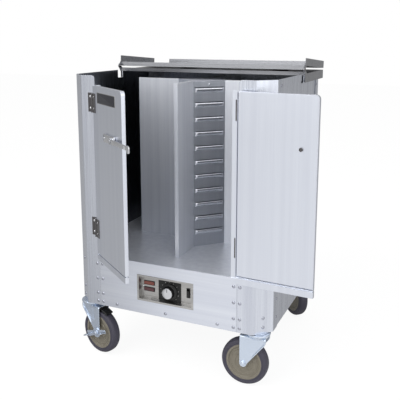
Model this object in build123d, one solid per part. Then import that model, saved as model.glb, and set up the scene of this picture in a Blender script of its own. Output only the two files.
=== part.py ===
"""Plate dispenser cart: an open-topped sheet aluminium cabinet on four swivel casters.

Two front doors, a folding top cover, a louvred warm-air duct with four divider fins, and a heated base.
Millimetres, +Z up. The cabinet is built about its own centre line and then set on its final origin.
"""
from build123d import *
from math import acos, atan2, cos, degrees, hypot, radians, sin, sqrt, tan
import os

# ---------------------------------------------------------------- cabinet
BODY_W = 690.0            # over the side walls, X
BODY_D = 590.0            # front to back, Y
BODY_H = 771.0            # the walls, from their lower edge to the rim
DECK_H = 175.0            # top of the deck that the plates stand on, above the walls' lower edge
BODY_DROP = 6.5           # the walls reach this far below the tops of the casters
CORNER = 50.0             # each corner is cut off this far along both walls
POST_FLANGE_FRONT = 52.0
POST_FLANGE_SIDE = 40.0
POST_SHEET = 2.0
POST_BEND_R = 8.0         # outside of each bend
WALL_SHEET = 1.5
POST_TOP_RADIUS = 10.0
HEM_H = 21.0              # doubled top band of the side walls
HEM_SHEET = 1.5
NOTCH_W = 34.0            # notch in each side wall under the fold of the cover
NOTCH_H = 28.0
JAMB_BEHIND = 22.0        # strip behind the post flange
JAMB_BESIDE = 21.0        # and beside it, in the opening
JAMB_SHEET = 1.5

# ---------------------------------------------------------------- base
PAN_SHEET = 2.5
PAN_LIP = 24.0
PAN_SLOT_L = 16.0
PAN_SLOT_W = 9.0
PAN_SLOT_BESIDE = 12.0    # middle of a slot beside the motor
THROUGH = 20.0            # length of a cutter that goes right through a sheet
DECK_SHEET = 2.0
SILL_FLANGE = 24.0
SHEET_GAP = 0.3           # between sheets that meet edge to edge
SEAT_GAP = 0.05           # under the head of a screw, rivet or bolt
CONTROL_W = 200.0
CONTROL_H = 88.0
CONTROL_X = -2.0
CONTROL_UP = 89.0         # this and the other heights up to the lamps are above the walls' lower edge
BEZEL_RIM = 6.0
BEZEL_SHEET = 1.2
BEZEL_DEPTH = 17.0
BEZEL_SLOPE = 3.0
DIAL_W = 80.0
DIAL_X = 8.0
DIAL_SHEET = 1.5
KNOB_UP = 85.0
KNOB_SKIRT_R = 27.5
KNOB_SKIRT_H = 4.0
KNOB_GRIP_R = 20.0
KNOB_GRIP_H = 15.0
KNOB_CAP_R = 18.0
KNOB_CAP_H = 1.5
KNOB_GAP = 0.4            # to the dial plate
SHAFT_R = 3.0
RUNNING_FIT = 0.05
THERMOSTAT_SIZE = 46.0
THERMOSTAT_DEPTH = 34.0
LAMP_W = 36.0
LAMP_H = 11.0
LAMP_FROM_END = 36.0      # from the panel's left end
LAMP_UP = (102.5, 81.0)
LAMP_PROUD = 2.5
LAMP_DEPTH = 22.0
SWITCH_FROM_END = 24.0    # from the panel's right end
SWITCH_UP = 91.0
SWITCH_W = 12.0
SWITCH_H = 32.0
SWITCH_WALL = 2.0
SWITCH_DEPTH = 24.0
SWITCH_PROUD = 2.0
ROCKER_PIVOT_R = 1.0
ROCKER_PIVOT_IN = 2.0     # pivot behind the panel
ROCKER_END_GAP = 3.0
ROCKER_PROUD = 5.0
ROCKER_TILT = 10.0

# ---------------------------------------------------------------- doors
DOOR_TOP_GAP = 30.0       # under the rim
DOOR_LAP = 6.0            # the door reaches this far under the deck
DOOR_T = 12.0
DOOR_GAP = 2.5            # to the front of the cabinet
DOOR_SKIN = 1.5
DOOR_MEETING = 2.0        # between the closed doors
DOOR_EDGE_GAP = 5.0       # door edge to pin centre
DOOR_CORNER_R = 12.0
DOOR_REVEAL = 3.0         # shadow line round the liner and over the bottom rail
RAIL_H = 19.0
RAIL_CORNER_R = 10.0
RAIL_TONGUE = 4.0
LEFT_DOOR_ANGLE = 37.2     # as it stands
RIGHT_DOOR_ANGLE = 177.3

HINGE_L = 61.0
HINGE_LEAF = 22.0
HINGE_SHEET = 1.5
KNUCKLE_R = 4.0
KNUCKLE_GAP = 0.4
PIN_R = 2.0
UPPER_HINGE_DROP = 115.0  # lower end of the upper hinge under the rim
LOWER_HINGE_UP = 71.0     # lower end of the lower hinge over the deck
SCREW_R = 3.6
SCREW_H = 1.8

LATCH_DROP = 180.0        # under the rim
LATCH_BASE_AT = 105.0     # from the door's pin
LATCH_BASE_L = 88.0
LATCH_BASE_H = 26.0
LATCH_BASE_T = 7.0
LATCH_PIVOT_AT = 178.0
LATCH_BOSS_R = 10.0
LATCH_BOSS_T = 3.0
LATCH_PIN_R = 3.5
LEVER_END_AT = 323.0
LEVER_H = 14.0
LEVER_T = 4.0
LEVER_GAP = 0.4
HOOK_L = 15.0
STUD_AT = 195.0           # from the right door's pin
STUD_R = 3.0
STUD_CLEAR = 1.0
STUD_HEAD_R = 6.0
STUD_NUT_R = 6.0
NAMEPLATE_AT = 45.0
NAMEPLATE_W = 150.0
NAMEPLATE_H = 34.0
NAMEPLATE_T = 1.2
NAMEPLATE_DROP = 18.0     # under the door's top

# ---------------------------------------------------------------- top cover
COVER_SHEET = 1.5
COVER_OVERHANG = 3.5      # outside of the side flanges beyond the walls
COVER_SKIRT = 28.0        # rear leaf, below the rim
COVER_FLANGE = 25.0       # front leaf, whole height
REAR_LEAF_Y = 42.0        # front edge of the rear leaf
REAR_LEAF_BACK = 4.0      # beyond the back of the cabinet
FOLD_Y = 33.0             # fold pins
FOLD_RISE = 14.5          # fold pins over the rim
FOLD_REST = 0.3           # folded front leaf over the knuckles of the rear hinges
BAR_UP = 7.6              # front bar of the rear leaf, over the rim
BAR_DOWN = 5.0
UPSTAND_H = 14.9          # strip along the fold edge of the front leaf
UPSTAND_LEDGE = 16.0      # it covers the gap between the closed leaves
COVER_CUT_X = 40.0        # corner cut of the front leaf
COVER_CUT_Y = 60.0
EAR_R = 8.0
EAR_BASE = 29.0
EAR_DROP = 8.0
EAR_GAP = 0.2
FOLD_PIN_R = 3.0
FOLD_HEAD_R = 5.5
FOLD_HEAD_H = 2.0
REAR_HINGE_X = 190.0
REAR_HINGE_L = 60.0
REAR_PIN_BACK = 2.5       # behind the cabinet
REAR_PIN_RISE = 3.8       # over the rim
REAR_LEAF_PLATE = 25.0

# ---------------------------------------------------------------- duct and fins
DUCT_HALF = 93.0          # half the diagonal of the square duct
DUCT_SHEET = 1.2
DIVIDER_DROP = 24.0       # divider top under the rim
FIN_T = 13.0
FIN_SHEET = 1.2
FIN_END_X = 244.0
FIN_END_Y = 208.0
LOUVRE_L = 104.0
LOUVRE_H = 15.0
LOUVRE_PROUD = 6.0
LOUVRE_SHEET = 1.2
LOUVRE_PITCH = 49.0
LOUVRE_FIRST = 39.0       # lower edge of the first one under the duct's top
LOUVRE_FOOT = 24.0        # least height of the last one over the deck
SLOT_DEPTH = 9.0          # how far a louvre's slot is cut into the duct
CAP_SHEET = 1.2

# ---------------------------------------------------------------- heater and blower
HOUSING_R = 70.0
HOUSING_SHEET = 1.5
HOUSING_WINDOW_W = 46.0
HOUSING_WINDOW_H = 38.0
FAN_R = 60.0
FAN_H = 50.0
FAN_BLADES = 18
FAN_BLADE_L = 14.0
FAN_SHEET = 1.5
FAN_GAP = 10.0            # over the motor
MOTOR_R = 42.0
MOTOR_H = 56.0
ELEMENT_R = 4.0
ELEMENT_RING_R = 50.0
ELEMENT_DROP = 18.0       # under the deck
INLET_FROM_SIDE = 155.0
INLET_UP = 86.0           # above the walls' lower edge
INLET_R = 29.0
INLET_CUP_R = 20.0
INLET_DEPTH = 16.0
INLET_T = 3.0
INLET_PIN_R = 2.5
INLET_PIN_RING = 8.0
INLET_WALL = 3.0

# ---------------------------------------------------------------- casters
CROWN_CLEAR = 13.6        # tyre to the fork's crown; with the 6 inch wheel the caster is 190.5 high
CASTER_IN_X = 43.0        # swivel axis inside the walls
CASTER_IN_Y = 39.0
PLATE_T = 4.0
PLATE_HALF_X = 40.0
PLATE_HALF_Y = 36.0
PLATE_CLEAR = 2.0         # to the corner post
RACE_R = 30.0
RACE_H = 4.0
NECK_R = 18.0             # between plate and race, inside the corner of the cabinet
HEAD_R = 38.0
HEAD_H = 12.0
HEAD_GAP = 0.5
KINGPIN_R = 6.0
KINGPIN_HEAD_R = 9.0
KINGPIN_HEAD_H = 3.0
CROWN_T = 4.0
WHEEL_R = 76.2
WHEEL_W = 33.0
TREAD_R = 7.0
RIM_R = 58.0
HUB_DISH = 5.0
HUB_LIP = 6.0
BOSS_R = 16.0
TRAIL = 42.0
LEG_GAP = 4.0
LEG_T = 3.5
LEG_FRONT = 12.0          # leg beyond the axle, along the trail
AXLE_R = 5.0
AXLE_HEAD_R = 10.0
AXLE_HEAD_H = 7.0
BOLT_HEAD_R = 6.0
BOLT_HEAD_H = 3.5
BOLT_X = 30.0
BOLT_Y = 26.0
CASTER_YAW_ANGLES = {"front_left": -15.0, "front_right": 180.0, "rear_left": 200.0, "rear_right": 135.0}
BRAKED = ("front_left", "rear_left")
PEDAL_T = 3.0
PEDAL_REACH = 48.0
PEDAL_H = 22.0
PEDAL_TAB = 24.0
PEDAL_TAB_L = 20.0
PEDAL_TILT = 20.0
PEDAL_BOSS_R = 17.0
SHOE_T = 7.0
SHOE_GAP = 1.2
SHOE_HALF_ANGLE = 17.0
SHOE_LEAN_ANGLE = 12.0    # centre of the shoe ahead of the wheel's top, degrees
SHOE_W = 30.0
SHOE_HANGER = 10.0

# ---------------------------------------------------------------- rivets
RIVET_R = 4.0
RIVET_H = 1.6
RIVET_EDGE = 10.0         # from the seam
SEAM_RIVETS = (147.0, 95.0, 43.0, 14.0)      # these heights are above the walls' lower edge
BOTTOM_RIVET_UP = 14.0
BOTTOM_RIVET_X = (180.0, 0.0, -180.0)
CORNER_RIVETS = (150.0, 50.0, 20.0)
SIDE_RIVETS = (96.0, 36.0)
RIM_RIVETS = (18.0, 44.0)                    # under the rim

# ---------------------------------------------------------------- worked-out places
HALF_W = BODY_W / 2
HALF_D = BODY_D / 2
CASTER_X = HALF_W - CASTER_IN_X
CASTER_Y = HALF_D - CASTER_IN_Y
CASTER_H = 2 * WHEEL_R + CROWN_CLEAR + CROWN_T + HEAD_H + HEAD_GAP + RACE_H + PLATE_T
BODY_BOTTOM_Z = CASTER_H - BODY_DROP
RIM_Z = BODY_BOTTOM_Z + BODY_H
DECK_Z = BODY_BOTTOM_Z + DECK_H
CONTROL_Z = BODY_BOTTOM_Z + CONTROL_UP
LAMP_X = CONTROL_X - CONTROL_W / 2 + LAMP_FROM_END
SWITCH_X = CONTROL_X + CONTROL_W / 2 - SWITCH_FROM_END
KNOB_Z = BODY_BOTTOM_Z + KNOB_UP
LAMP_ZS = [BODY_BOTTOM_Z + up for up in LAMP_UP]
SWITCH_Z = BODY_BOTTOM_Z + SWITCH_UP
INLET_X = HALF_W - INLET_FROM_SIDE
INLET_Z = BODY_BOTTOM_Z + INLET_UP
LATCH_Z = RIM_Z - LATCH_DROP
FLAT_X = HALF_W - CORNER
FLAT_Y = HALF_D - CORNER
SEAM_X = FLAT_X - POST_FLANGE_FRONT
SEAM_Y = FLAT_Y - POST_FLANGE_SIDE
INNER = POST_SHEET + WALL_SHEET
DIVIDER_Z = RIM_Z - DIVIDER_DROP
LOUVRE_ROWS = 1 + int((DIVIDER_Z - LOUVRE_FIRST - LOUVRE_FOOT - DECK_Z) // LOUVRE_PITCH)
PAN_Z = CASTER_H
PAN_TOP_Z = PAN_Z + PAN_SHEET
JAMB_INNER_X = SEAM_X - JAMB_BESIDE
DOOR_BACK_Y = -HALF_D - DOOR_GAP
DOOR_FACE_Y = DOOR_BACK_Y - DOOR_T
PIN_X = SEAM_X
PIN_Y = DOOR_FACE_Y - HINGE_SHEET / 2
DOOR_EDGE_X = PIN_X - DOOR_EDGE_GAP
DOOR_FREE_X = DOOR_MEETING / 2
DOOR_TOP_Z = RIM_Z - DOOR_TOP_GAP
DOOR_LOW_Z = DECK_Z - DOOR_LAP
PANEL_LOW_Z = DOOR_LOW_Z + RAIL_H + DOOR_REVEAL
HINGE_ZS = (DECK_Z + LOWER_HINGE_UP, RIM_Z - UPPER_HINGE_DROP)
LATCH_BASE_Y = DOOR_FACE_Y - LATCH_BASE_T
LEVER_BACK_Y = LATCH_BASE_Y - LATCH_BOSS_T - LEVER_GAP
LEVER_FACE_Y = LEVER_BACK_Y - LEVER_T
COVER_X = HALF_W + COVER_OVERHANG
COVER_Y = HALF_D + COVER_OVERHANG
COVER_TOP_Z = RIM_Z + COVER_SHEET
FOLD_Z = RIM_Z + FOLD_RISE
FRONT_LEAF_Y = 2 * FOLD_Y - REAR_LEAF_Y
REAR_PIN_Y = HALF_D + REAR_PIN_BACK
REAR_PIN_Z = RIM_Z + REAR_PIN_RISE
FOLD_LEAF_RISE = FOLD_RISE - COVER_SHEET   # fold pins over the leaf
FOLD_TO_HINGE = REAR_PIN_Y - FOLD_Y
FOLD_DROP = REAR_PIN_RISE + KNUCKLE_R + FOLD_REST - FOLD_RISE
FOLD_ANGLE = 180 + degrees(acos(FOLD_DROP / hypot(FOLD_LEAF_RISE, FOLD_TO_HINGE))
                           - atan2(FOLD_TO_HINGE, FOLD_LEAF_RISE))     # how far the front leaf is folded back
BACK_FACE_Y = HALF_D - POST_SHEET          # outside of the back wall
CONTROL_BACK_Y = -HALF_D + BEZEL_DEPTH     # where the sunk panel starts
DIAL_FACE_Y = CONTROL_BACK_Y - DIAL_SHEET
HEAD_TOP_Z = CASTER_H - PLATE_T - RACE_H - HEAD_GAP
CROWN_TOP_Z = HEAD_TOP_Z - HEAD_H
CROWN_Z = CROWN_TOP_Z - CROWN_T
LEG_INNER = WHEEL_W / 2 + LEG_GAP
LEG_OUTER = LEG_INNER + LEG_T
FAN_Z = PAN_TOP_Z + MOTOR_H + FAN_GAP
CASTER_PLACES = {
    "front_left": (-CASTER_X, -CASTER_Y),
    "front_right": (CASTER_X, -CASTER_Y),
    "rear_left": (-CASTER_X, CASTER_Y),
    "rear_right": (CASTER_X, CASTER_Y),
}
parts = {}


# ---------------------------------------------------------------- helpers
def block(x0, x1, y0, y1, z0, z1):
    """A box between two corners."""
    return Pos((x0 + x1) / 2, (y0 + y1) / 2, (z0 + z1) / 2) * Box(abs(x1 - x0), abs(y1 - y0), abs(z1 - z0))


def rod(radius, start, end):
    """A round bar between two points."""
    way = Vector(*end) - Vector(*start)
    return extrude(Plane(origin=start, z_dir=way) * Circle(radius), way.length)


def head(radius, height, base, out):
    """A low rivet or screw head on a surface: a round cap that narrows outwards."""
    plane = Plane(origin=base, z_dir=out).offset(SEAT_GAP)
    top = plane.offset(height)
    return loft([plane * Circle(radius), top * Circle(radius * 0.55)])


def upright(points, z0, z1):
    """A vertical prism on a plan outline."""
    return Pos(0, 0, z0) * extrude(make_face(Polyline(*points, close=True)), z1 - z0)


def sideways(points, x0, x1):
    """A prism along X on an outline of (y, z) points."""
    face = make_face(Polyline(*[(x0, y, z) for y, z in points], close=True))
    return extrude(face, x1 - x0, dir=(1, 0, 0))


def facing(points, y0, y1):
    """A prism along Y on an outline of (x, z) points."""
    face = make_face(Polyline(*[(x, y0, z) for x, z in points], close=True))
    return extrude(face, y1 - y0, dir=(0, 1, 0))


def other_side(shape):
    """The same shape on the other side of the cabinet."""
    return mirror(shape, Plane.YZ)


def group(shapes):
    """Separate solids that make one node."""
    return Compound([solid for shape in shapes for solid in shape.solids()])


def octagon(inset):
    """Plan of the cabinet with its four cut corners, drawn in by inset."""
    x, y = HALF_W - inset, HALF_D - inset
    cut = CORNER - inset * (2 - sqrt(2))
    return [(x - cut, -y), (x, cut - y), (x, y - cut), (x - cut, y),
            (cut - x, y), (-x, y - cut), (-x, cut - y), (cut - x, -y)]


def diamond(half):
    return [(half, 0), (0, half), (-half, 0), (0, -half)]


def bent_sheet(points, thickness):
    """Plan outline of a sheet bent along points, with its thickness on the left of the way."""
    inner = []
    for i, (x, y) in enumerate(points):
        ways = [Vector(points[j + 1][0] - points[j][0], points[j + 1][1] - points[j][1])
                for j in (i - 1, i) if 0 <= j < len(points) - 1]
        normals = [Vector(-way.Y, way.X).normalized() for way in ways]
        middle = (normals[0] + normals[-1]).normalized()
        shift = middle * (thickness / middle.dot(normals[0]))
        inner.append((x + shift.X, y + shift.Y))
    return list(points) + inner[::-1]


# ---------------------------------------------------------------- cabinet walls
def corner_post():
    """Front right post: a sheet bent twice, with a rounded top inner corner."""
    outline = bent_sheet([(SEAM_X, -HALF_D), (FLAT_X, -HALF_D), (HALF_W, -FLAT_Y), (HALF_W, -SEAM_Y)],
                         POST_SHEET)
    post = upright(outline, BODY_BOTTOM_Z, RIM_Z)
    along = POST_SHEET * tan(radians(22.5))
    for x, y, radius in ((FLAT_X, -HALF_D, POST_BEND_R), (HALF_W, -FLAT_Y, POST_BEND_R),
                         (FLAT_X - along, -HALF_D + POST_SHEET, POST_BEND_R - POST_SHEET),
                         (HALF_W - POST_SHEET, -FLAT_Y + along, POST_BEND_R - POST_SHEET)):
        bend = [edge for edge in post.edges().filter_by(Axis.Z)
                if hypot(edge.center().X - x, edge.center().Y - y) < SHEET_GAP]
        post = fillet(bend, radius)
    r = POST_TOP_RADIUS
    waste = block(SEAM_X - 1, SEAM_X + r, -HALF_D - 1, -HALF_D + POST_SHEET + 1, RIM_Z - r, RIM_Z + 1)
    keep = rod(r, (SEAM_X + r, -HALF_D - 2, RIM_Z - r), (SEAM_X + r, -HALF_D + POST_SHEET + 2, RIM_Z - r))
    return post - (waste - keep)


def side_wall():
    """Right wall behind the post flanges, its top band doubled and notched under the fold of the cover."""
    outer = HALF_W - POST_SHEET
    wall_y = FLAT_Y - POST_BEND_R
    wall = block(outer - WALL_SHEET, outer, -wall_y, wall_y, BODY_BOTTOM_Z, RIM_Z)
    hem_y = SEAM_Y - SHEET_GAP
    wall += block(outer, outer + HEM_SHEET, -hem_y, hem_y, RIM_Z - HEM_H, RIM_Z)
    notch_back = REAR_LEAF_Y + 2 * COVER_SHEET
    return wall - block(outer - 5, outer + 5, notch_back - NOTCH_W, notch_back, RIM_Z - NOTCH_H, RIM_Z + 1)


def cabinet():
    post = corner_post()
    rear = mirror(post, Plane.XZ)
    wall = side_wall()
    parts["front_post_right"] = post
    parts["front_post_left"] = other_side(post)
    parts["rear_post_right"] = rear
    parts["rear_post_left"] = other_side(rear)
    parts["right_wall"] = wall
    parts["left_wall"] = other_side(wall)
    back_x = FLAT_X - POST_BEND_R
    back = block(-back_x, back_x, BACK_FACE_Y - WALL_SHEET, BACK_FACE_Y, BODY_BOTTOM_Z, RIM_Z)
    inlet_hole = rod(INLET_CUP_R + SHEET_GAP, (INLET_X, BACK_FACE_Y - 9, INLET_Z),
                     (INLET_X, HALF_D + 9, INLET_Z))
    parts["back_wall"] = back - inlet_hole
    jamb_y = -HALF_D + POST_SHEET
    jamb = block(JAMB_INNER_X, SEAM_X + JAMB_BEHIND, jamb_y, jamb_y + JAMB_SHEET,
                 BODY_BOTTOM_Z + 6, DOOR_TOP_Z)
    parts["door_jamb_strips"] = group([jamb, other_side(jamb)])


def base():
    """Front panel with its sill flange, the deck over it and the pan under it."""
    panel_x = SEAM_X - SHEET_GAP
    panel = block(-panel_x, panel_x, -HALF_D, -HALF_D + POST_SHEET, BODY_BOTTOM_Z, DECK_Z)
    flange_x = JAMB_INNER_X - SHEET_GAP
    flange_z = DECK_Z - DECK_SHEET
    panel += block(-flange_x, flange_x, -HALF_D, -HALF_D + SILL_FLANGE, flange_z - POST_SHEET, flange_z)
    hole_w = CONTROL_W - 2 * BEZEL_RIM + 2 * BEZEL_SHEET + SHEET_GAP
    hole_h = CONTROL_H - 2 * BEZEL_RIM + 2 * BEZEL_SHEET + SHEET_GAP
    panel -= Pos(CONTROL_X, -HALF_D, CONTROL_Z) * Box(hole_w, THROUGH, hole_h)
    parts["base_front_panel"] = panel

    deck = upright(octagon(INNER), DECK_Z - DECK_SHEET, DECK_Z)
    deck -= upright(diamond(DUCT_HALF - DUCT_SHEET * sqrt(2)), DECK_Z - 9, DECK_Z + 9)
    parts["deck"] = deck

    pan = upright(octagon(INNER), PAN_Z, PAN_Z + PAN_LIP)
    pan -= upright(octagon(INNER + PAN_SHEET), PAN_TOP_Z, PAN_Z + PAN_LIP + 1)
    for turn in range(6):
        slot = Pos(MOTOR_R + PAN_SLOT_BESIDE, 0, PAN_Z) * Box(PAN_SLOT_L, PAN_SLOT_W, THROUGH)
        pan -= Rot(0, 0, 60 * turn + 30) * slot
    parts["bottom_pan"] = pan


# ---------------------------------------------------------------- controls
def recess(width, height, slope, depth):
    """A tapered pocket that starts at the front of the cabinet."""
    front = Plane(origin=(CONTROL_X, -HALF_D, CONTROL_Z), x_dir=(1, 0, 0), z_dir=(0, -1, 0))
    back = Plane(origin=(CONTROL_X, -HALF_D + depth, CONTROL_Z), x_dir=(1, 0, 0), z_dir=(0, -1, 0))
    return loft([front * Rectangle(width, height), back * Rectangle(width - 2 * slope, height - 2 * slope)])


def controls():
    """The sunk control panel with its dial, lamps and switch."""
    w, h = CONTROL_W - 2 * BEZEL_RIM, CONTROL_H - 2 * BEZEL_RIM
    rim = block(CONTROL_X - CONTROL_W / 2, CONTROL_X + CONTROL_W / 2, -HALF_D - BEZEL_SHEET, -HALF_D,
                CONTROL_Z - CONTROL_H / 2, CONTROL_Z + CONTROL_H / 2)
    shell = recess(w + 2 * BEZEL_SHEET, h + 2 * BEZEL_SHEET, BEZEL_SLOPE, BEZEL_DEPTH + BEZEL_SHEET)
    bezel = rim + shell - recess(w, h, BEZEL_SLOPE, BEZEL_DEPTH)
    bezel -= Pos(CONTROL_X, -HALF_D - BEZEL_SHEET / 2, CONTROL_Z) * Box(w, BEZEL_SHEET, h)
    bezel -= rod(SHAFT_R + 1, (DIAL_X, -HALF_D, KNOB_Z), (DIAL_X, CONTROL_BACK_Y + 9, KNOB_Z))
    for z in LAMP_ZS:
        bezel -= Pos(LAMP_X, CONTROL_BACK_Y, z) * Box(LAMP_W + SHEET_GAP, 9, LAMP_H + SHEET_GAP)
    bezel -= Pos(SWITCH_X, CONTROL_BACK_Y, SWITCH_Z) * Box(SWITCH_W + SHEET_GAP, 9, SWITCH_H + SHEET_GAP)
    parts["control_bezel"] = bezel

    dial_h = h - 2 * BEZEL_SLOPE - 1
    dial = block(DIAL_X - DIAL_W / 2, DIAL_X + DIAL_W / 2, DIAL_FACE_Y, CONTROL_BACK_Y,
                 CONTROL_Z - dial_h / 2, CONTROL_Z + dial_h / 2)
    parts["dial_plate"] = dial - rod(SHAFT_R + 1, (DIAL_X, -HALF_D, KNOB_Z),
                                     (DIAL_X, CONTROL_BACK_Y + 9, KNOB_Z))

    box_y = CONTROL_BACK_Y + BEZEL_SHEET
    half = THERMOSTAT_SIZE / 2
    knob_back_y = DIAL_FACE_Y - KNOB_GAP
    thermostat = block(DIAL_X - half, DIAL_X + half, box_y, box_y + THERMOSTAT_DEPTH,
                       KNOB_Z - half, KNOB_Z + half)
    thermostat += rod(SHAFT_R, (DIAL_X, box_y + 1, KNOB_Z), (DIAL_X, knob_back_y - KNOB_GRIP_H, KNOB_Z))
    parts["thermostat"] = thermostat

    knob = rod(KNOB_SKIRT_R, (DIAL_X, knob_back_y, KNOB_Z), (DIAL_X, knob_back_y - KNOB_SKIRT_H, KNOB_Z))
    grip_y = knob_back_y - KNOB_SKIRT_H - KNOB_GRIP_H
    knob += rod(KNOB_GRIP_R, (DIAL_X, knob_back_y, KNOB_Z), (DIAL_X, grip_y, KNOB_Z))
    bore_y = knob_back_y - KNOB_GRIP_H - 1
    knob -= rod(SHAFT_R + RUNNING_FIT, (DIAL_X, knob_back_y + 1, KNOB_Z), (DIAL_X, bore_y, KNOB_Z))
    cap = rod(KNOB_CAP_R, (DIAL_X, grip_y, KNOB_Z), (DIAL_X, grip_y - KNOB_CAP_H, KNOB_Z))
    parts["control_knob"] = group([knob, cap])

    parts["pilot_lamps"] = group([
        block(LAMP_X - LAMP_W / 2, LAMP_X + LAMP_W / 2,
              CONTROL_BACK_Y - LAMP_PROUD, CONTROL_BACK_Y + LAMP_DEPTH,
              z - LAMP_H / 2, z + LAMP_H / 2) for z in LAMP_ZS])

    face_y = CONTROL_BACK_Y - SWITCH_PROUD
    body = block(SWITCH_X - SWITCH_W / 2, SWITCH_X + SWITCH_W / 2, face_y, CONTROL_BACK_Y + SWITCH_DEPTH,
                 SWITCH_Z - SWITCH_H / 2, SWITCH_Z + SWITCH_H / 2)
    pocket_w = SWITCH_W - 2 * SWITCH_WALL
    pocket_h = SWITCH_H - 2 * SWITCH_WALL
    pocket_d = SWITCH_DEPTH - SWITCH_WALL
    body -= Pos(SWITCH_X, face_y, SWITCH_Z) * Box(pocket_w, pocket_d, pocket_h)
    pivot_y = CONTROL_BACK_Y + ROCKER_PIVOT_IN
    half_w = pocket_w / 2 - RUNNING_FIT
    for side in (-1, 1):
        body -= rod(ROCKER_PIVOT_R + RUNNING_FIT, (SWITCH_X + side * (half_w - 1), pivot_y, SWITCH_Z),
                    (SWITCH_X + side * (half_w + 1), pivot_y, SWITCH_Z))
    parts["switch_body"] = body
    reach = pocket_h / 2 - ROCKER_END_GAP
    crest_y = CONTROL_BACK_Y - ROCKER_PROUD
    rocker = sideways([(pivot_y + SWITCH_WALL, SWITCH_Z - reach / 2),
                       (pivot_y + SWITCH_WALL, SWITCH_Z + reach / 2),
                       (face_y, SWITCH_Z + reach), (crest_y, SWITCH_Z + reach),
                       ((face_y + crest_y) / 2, SWITCH_Z),
                       (crest_y, SWITCH_Z - reach), (face_y, SWITCH_Z - reach)],
                      SWITCH_X - half_w, SWITCH_X + half_w)
    pin_x = half_w + SWITCH_WALL / 2 - 2 * RUNNING_FIT
    rocker += rod(ROCKER_PIVOT_R, (SWITCH_X - pin_x, pivot_y, SWITCH_Z),
                  (SWITCH_X + pin_x, pivot_y, SWITCH_Z))
    turned = Pos(0, pivot_y, SWITCH_Z) * Rot(ROCKER_TILT, 0, 0) * Pos(0, -pivot_y, -SWITCH_Z) * rocker
    parts["switch_rocker"] = turned


# ---------------------------------------------------------------- duct, fins, heater and blower
def louvre_hood():
    """One pressed louvre on a duct face whose outside is the plane x = 0: a scoop that is open at the top."""
    z = DIVIDER_Z - LOUVRE_FIRST
    half = LOUVRE_L / 2
    top = z + LOUVRE_H
    outer = [(0, z), (LOUVRE_PROUD, top - LOUVRE_SHEET), (LOUVRE_PROUD, top), (0, top)]
    inner = [(-1, z + 2 * LOUVRE_SHEET), (LOUVRE_PROUD - LOUVRE_SHEET, top - LOUVRE_SHEET),
             (LOUVRE_PROUD - LOUVRE_SHEET, top + 1), (-1, top + 1)]
    hood = facing(outer, -half, half) - facing(inner, LOUVRE_SHEET - half, half - LOUVRE_SHEET)
    slot = block(-SLOT_DEPTH, SHEET_GAP, LOUVRE_SHEET - half, half - LOUVRE_SHEET, z + 3 * LOUVRE_SHEET, top)
    return hood, slot


def air_duct():
    """Square tube set cornerwise on the deck, with a column of louvres in each face."""
    top = DIVIDER_Z - CAP_SHEET
    duct = upright(diamond(DUCT_HALF), DECK_Z, top)
    duct -= upright(diamond(DUCT_HALF - DUCT_SHEET * sqrt(2)), DECK_Z - 1, top + 1)
    hood, slot = louvre_hood()
    face = DUCT_HALF / sqrt(2)
    hoods, slots = [], []
    for turn in range(4):
        for row in range(LOUVRE_ROWS):
            place = Rot(0, 0, 45 + 90 * turn) * Pos(face, 0, -row * LOUVRE_PITCH)
            hoods.append(place * hood)
            slots.append(place * slot)
    parts["air_duct"] = duct - slots + hoods
    parts["duct_cap"] = upright(diamond(DUCT_HALF), top, DIVIDER_Z)


def fins():
    """Four hollow dividers, open below and towards the duct."""
    inner = FIN_T / 2 - FIN_SHEET
    start = DUCT_HALF - FIN_T / 2
    duct_space = upright(diamond(DUCT_HALF + SHEET_GAP), DECK_Z - 1, DIVIDER_Z + 1)
    solids = []
    for end, turn in ((FIN_END_X, 0), (FIN_END_Y, 90), (FIN_END_X, 180), (FIN_END_Y, 270)):
        fin = block(start, end, -FIN_T / 2, FIN_T / 2, DECK_Z, DIVIDER_Z)
        fin -= block(start - 1, end - FIN_SHEET, -inner, inner, DECK_Z - 1, DIVIDER_Z - FIN_SHEET)
        solids.append(Rot(0, 0, turn) * fin - duct_space)
    parts["divider_fins"] = group(solids)


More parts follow.
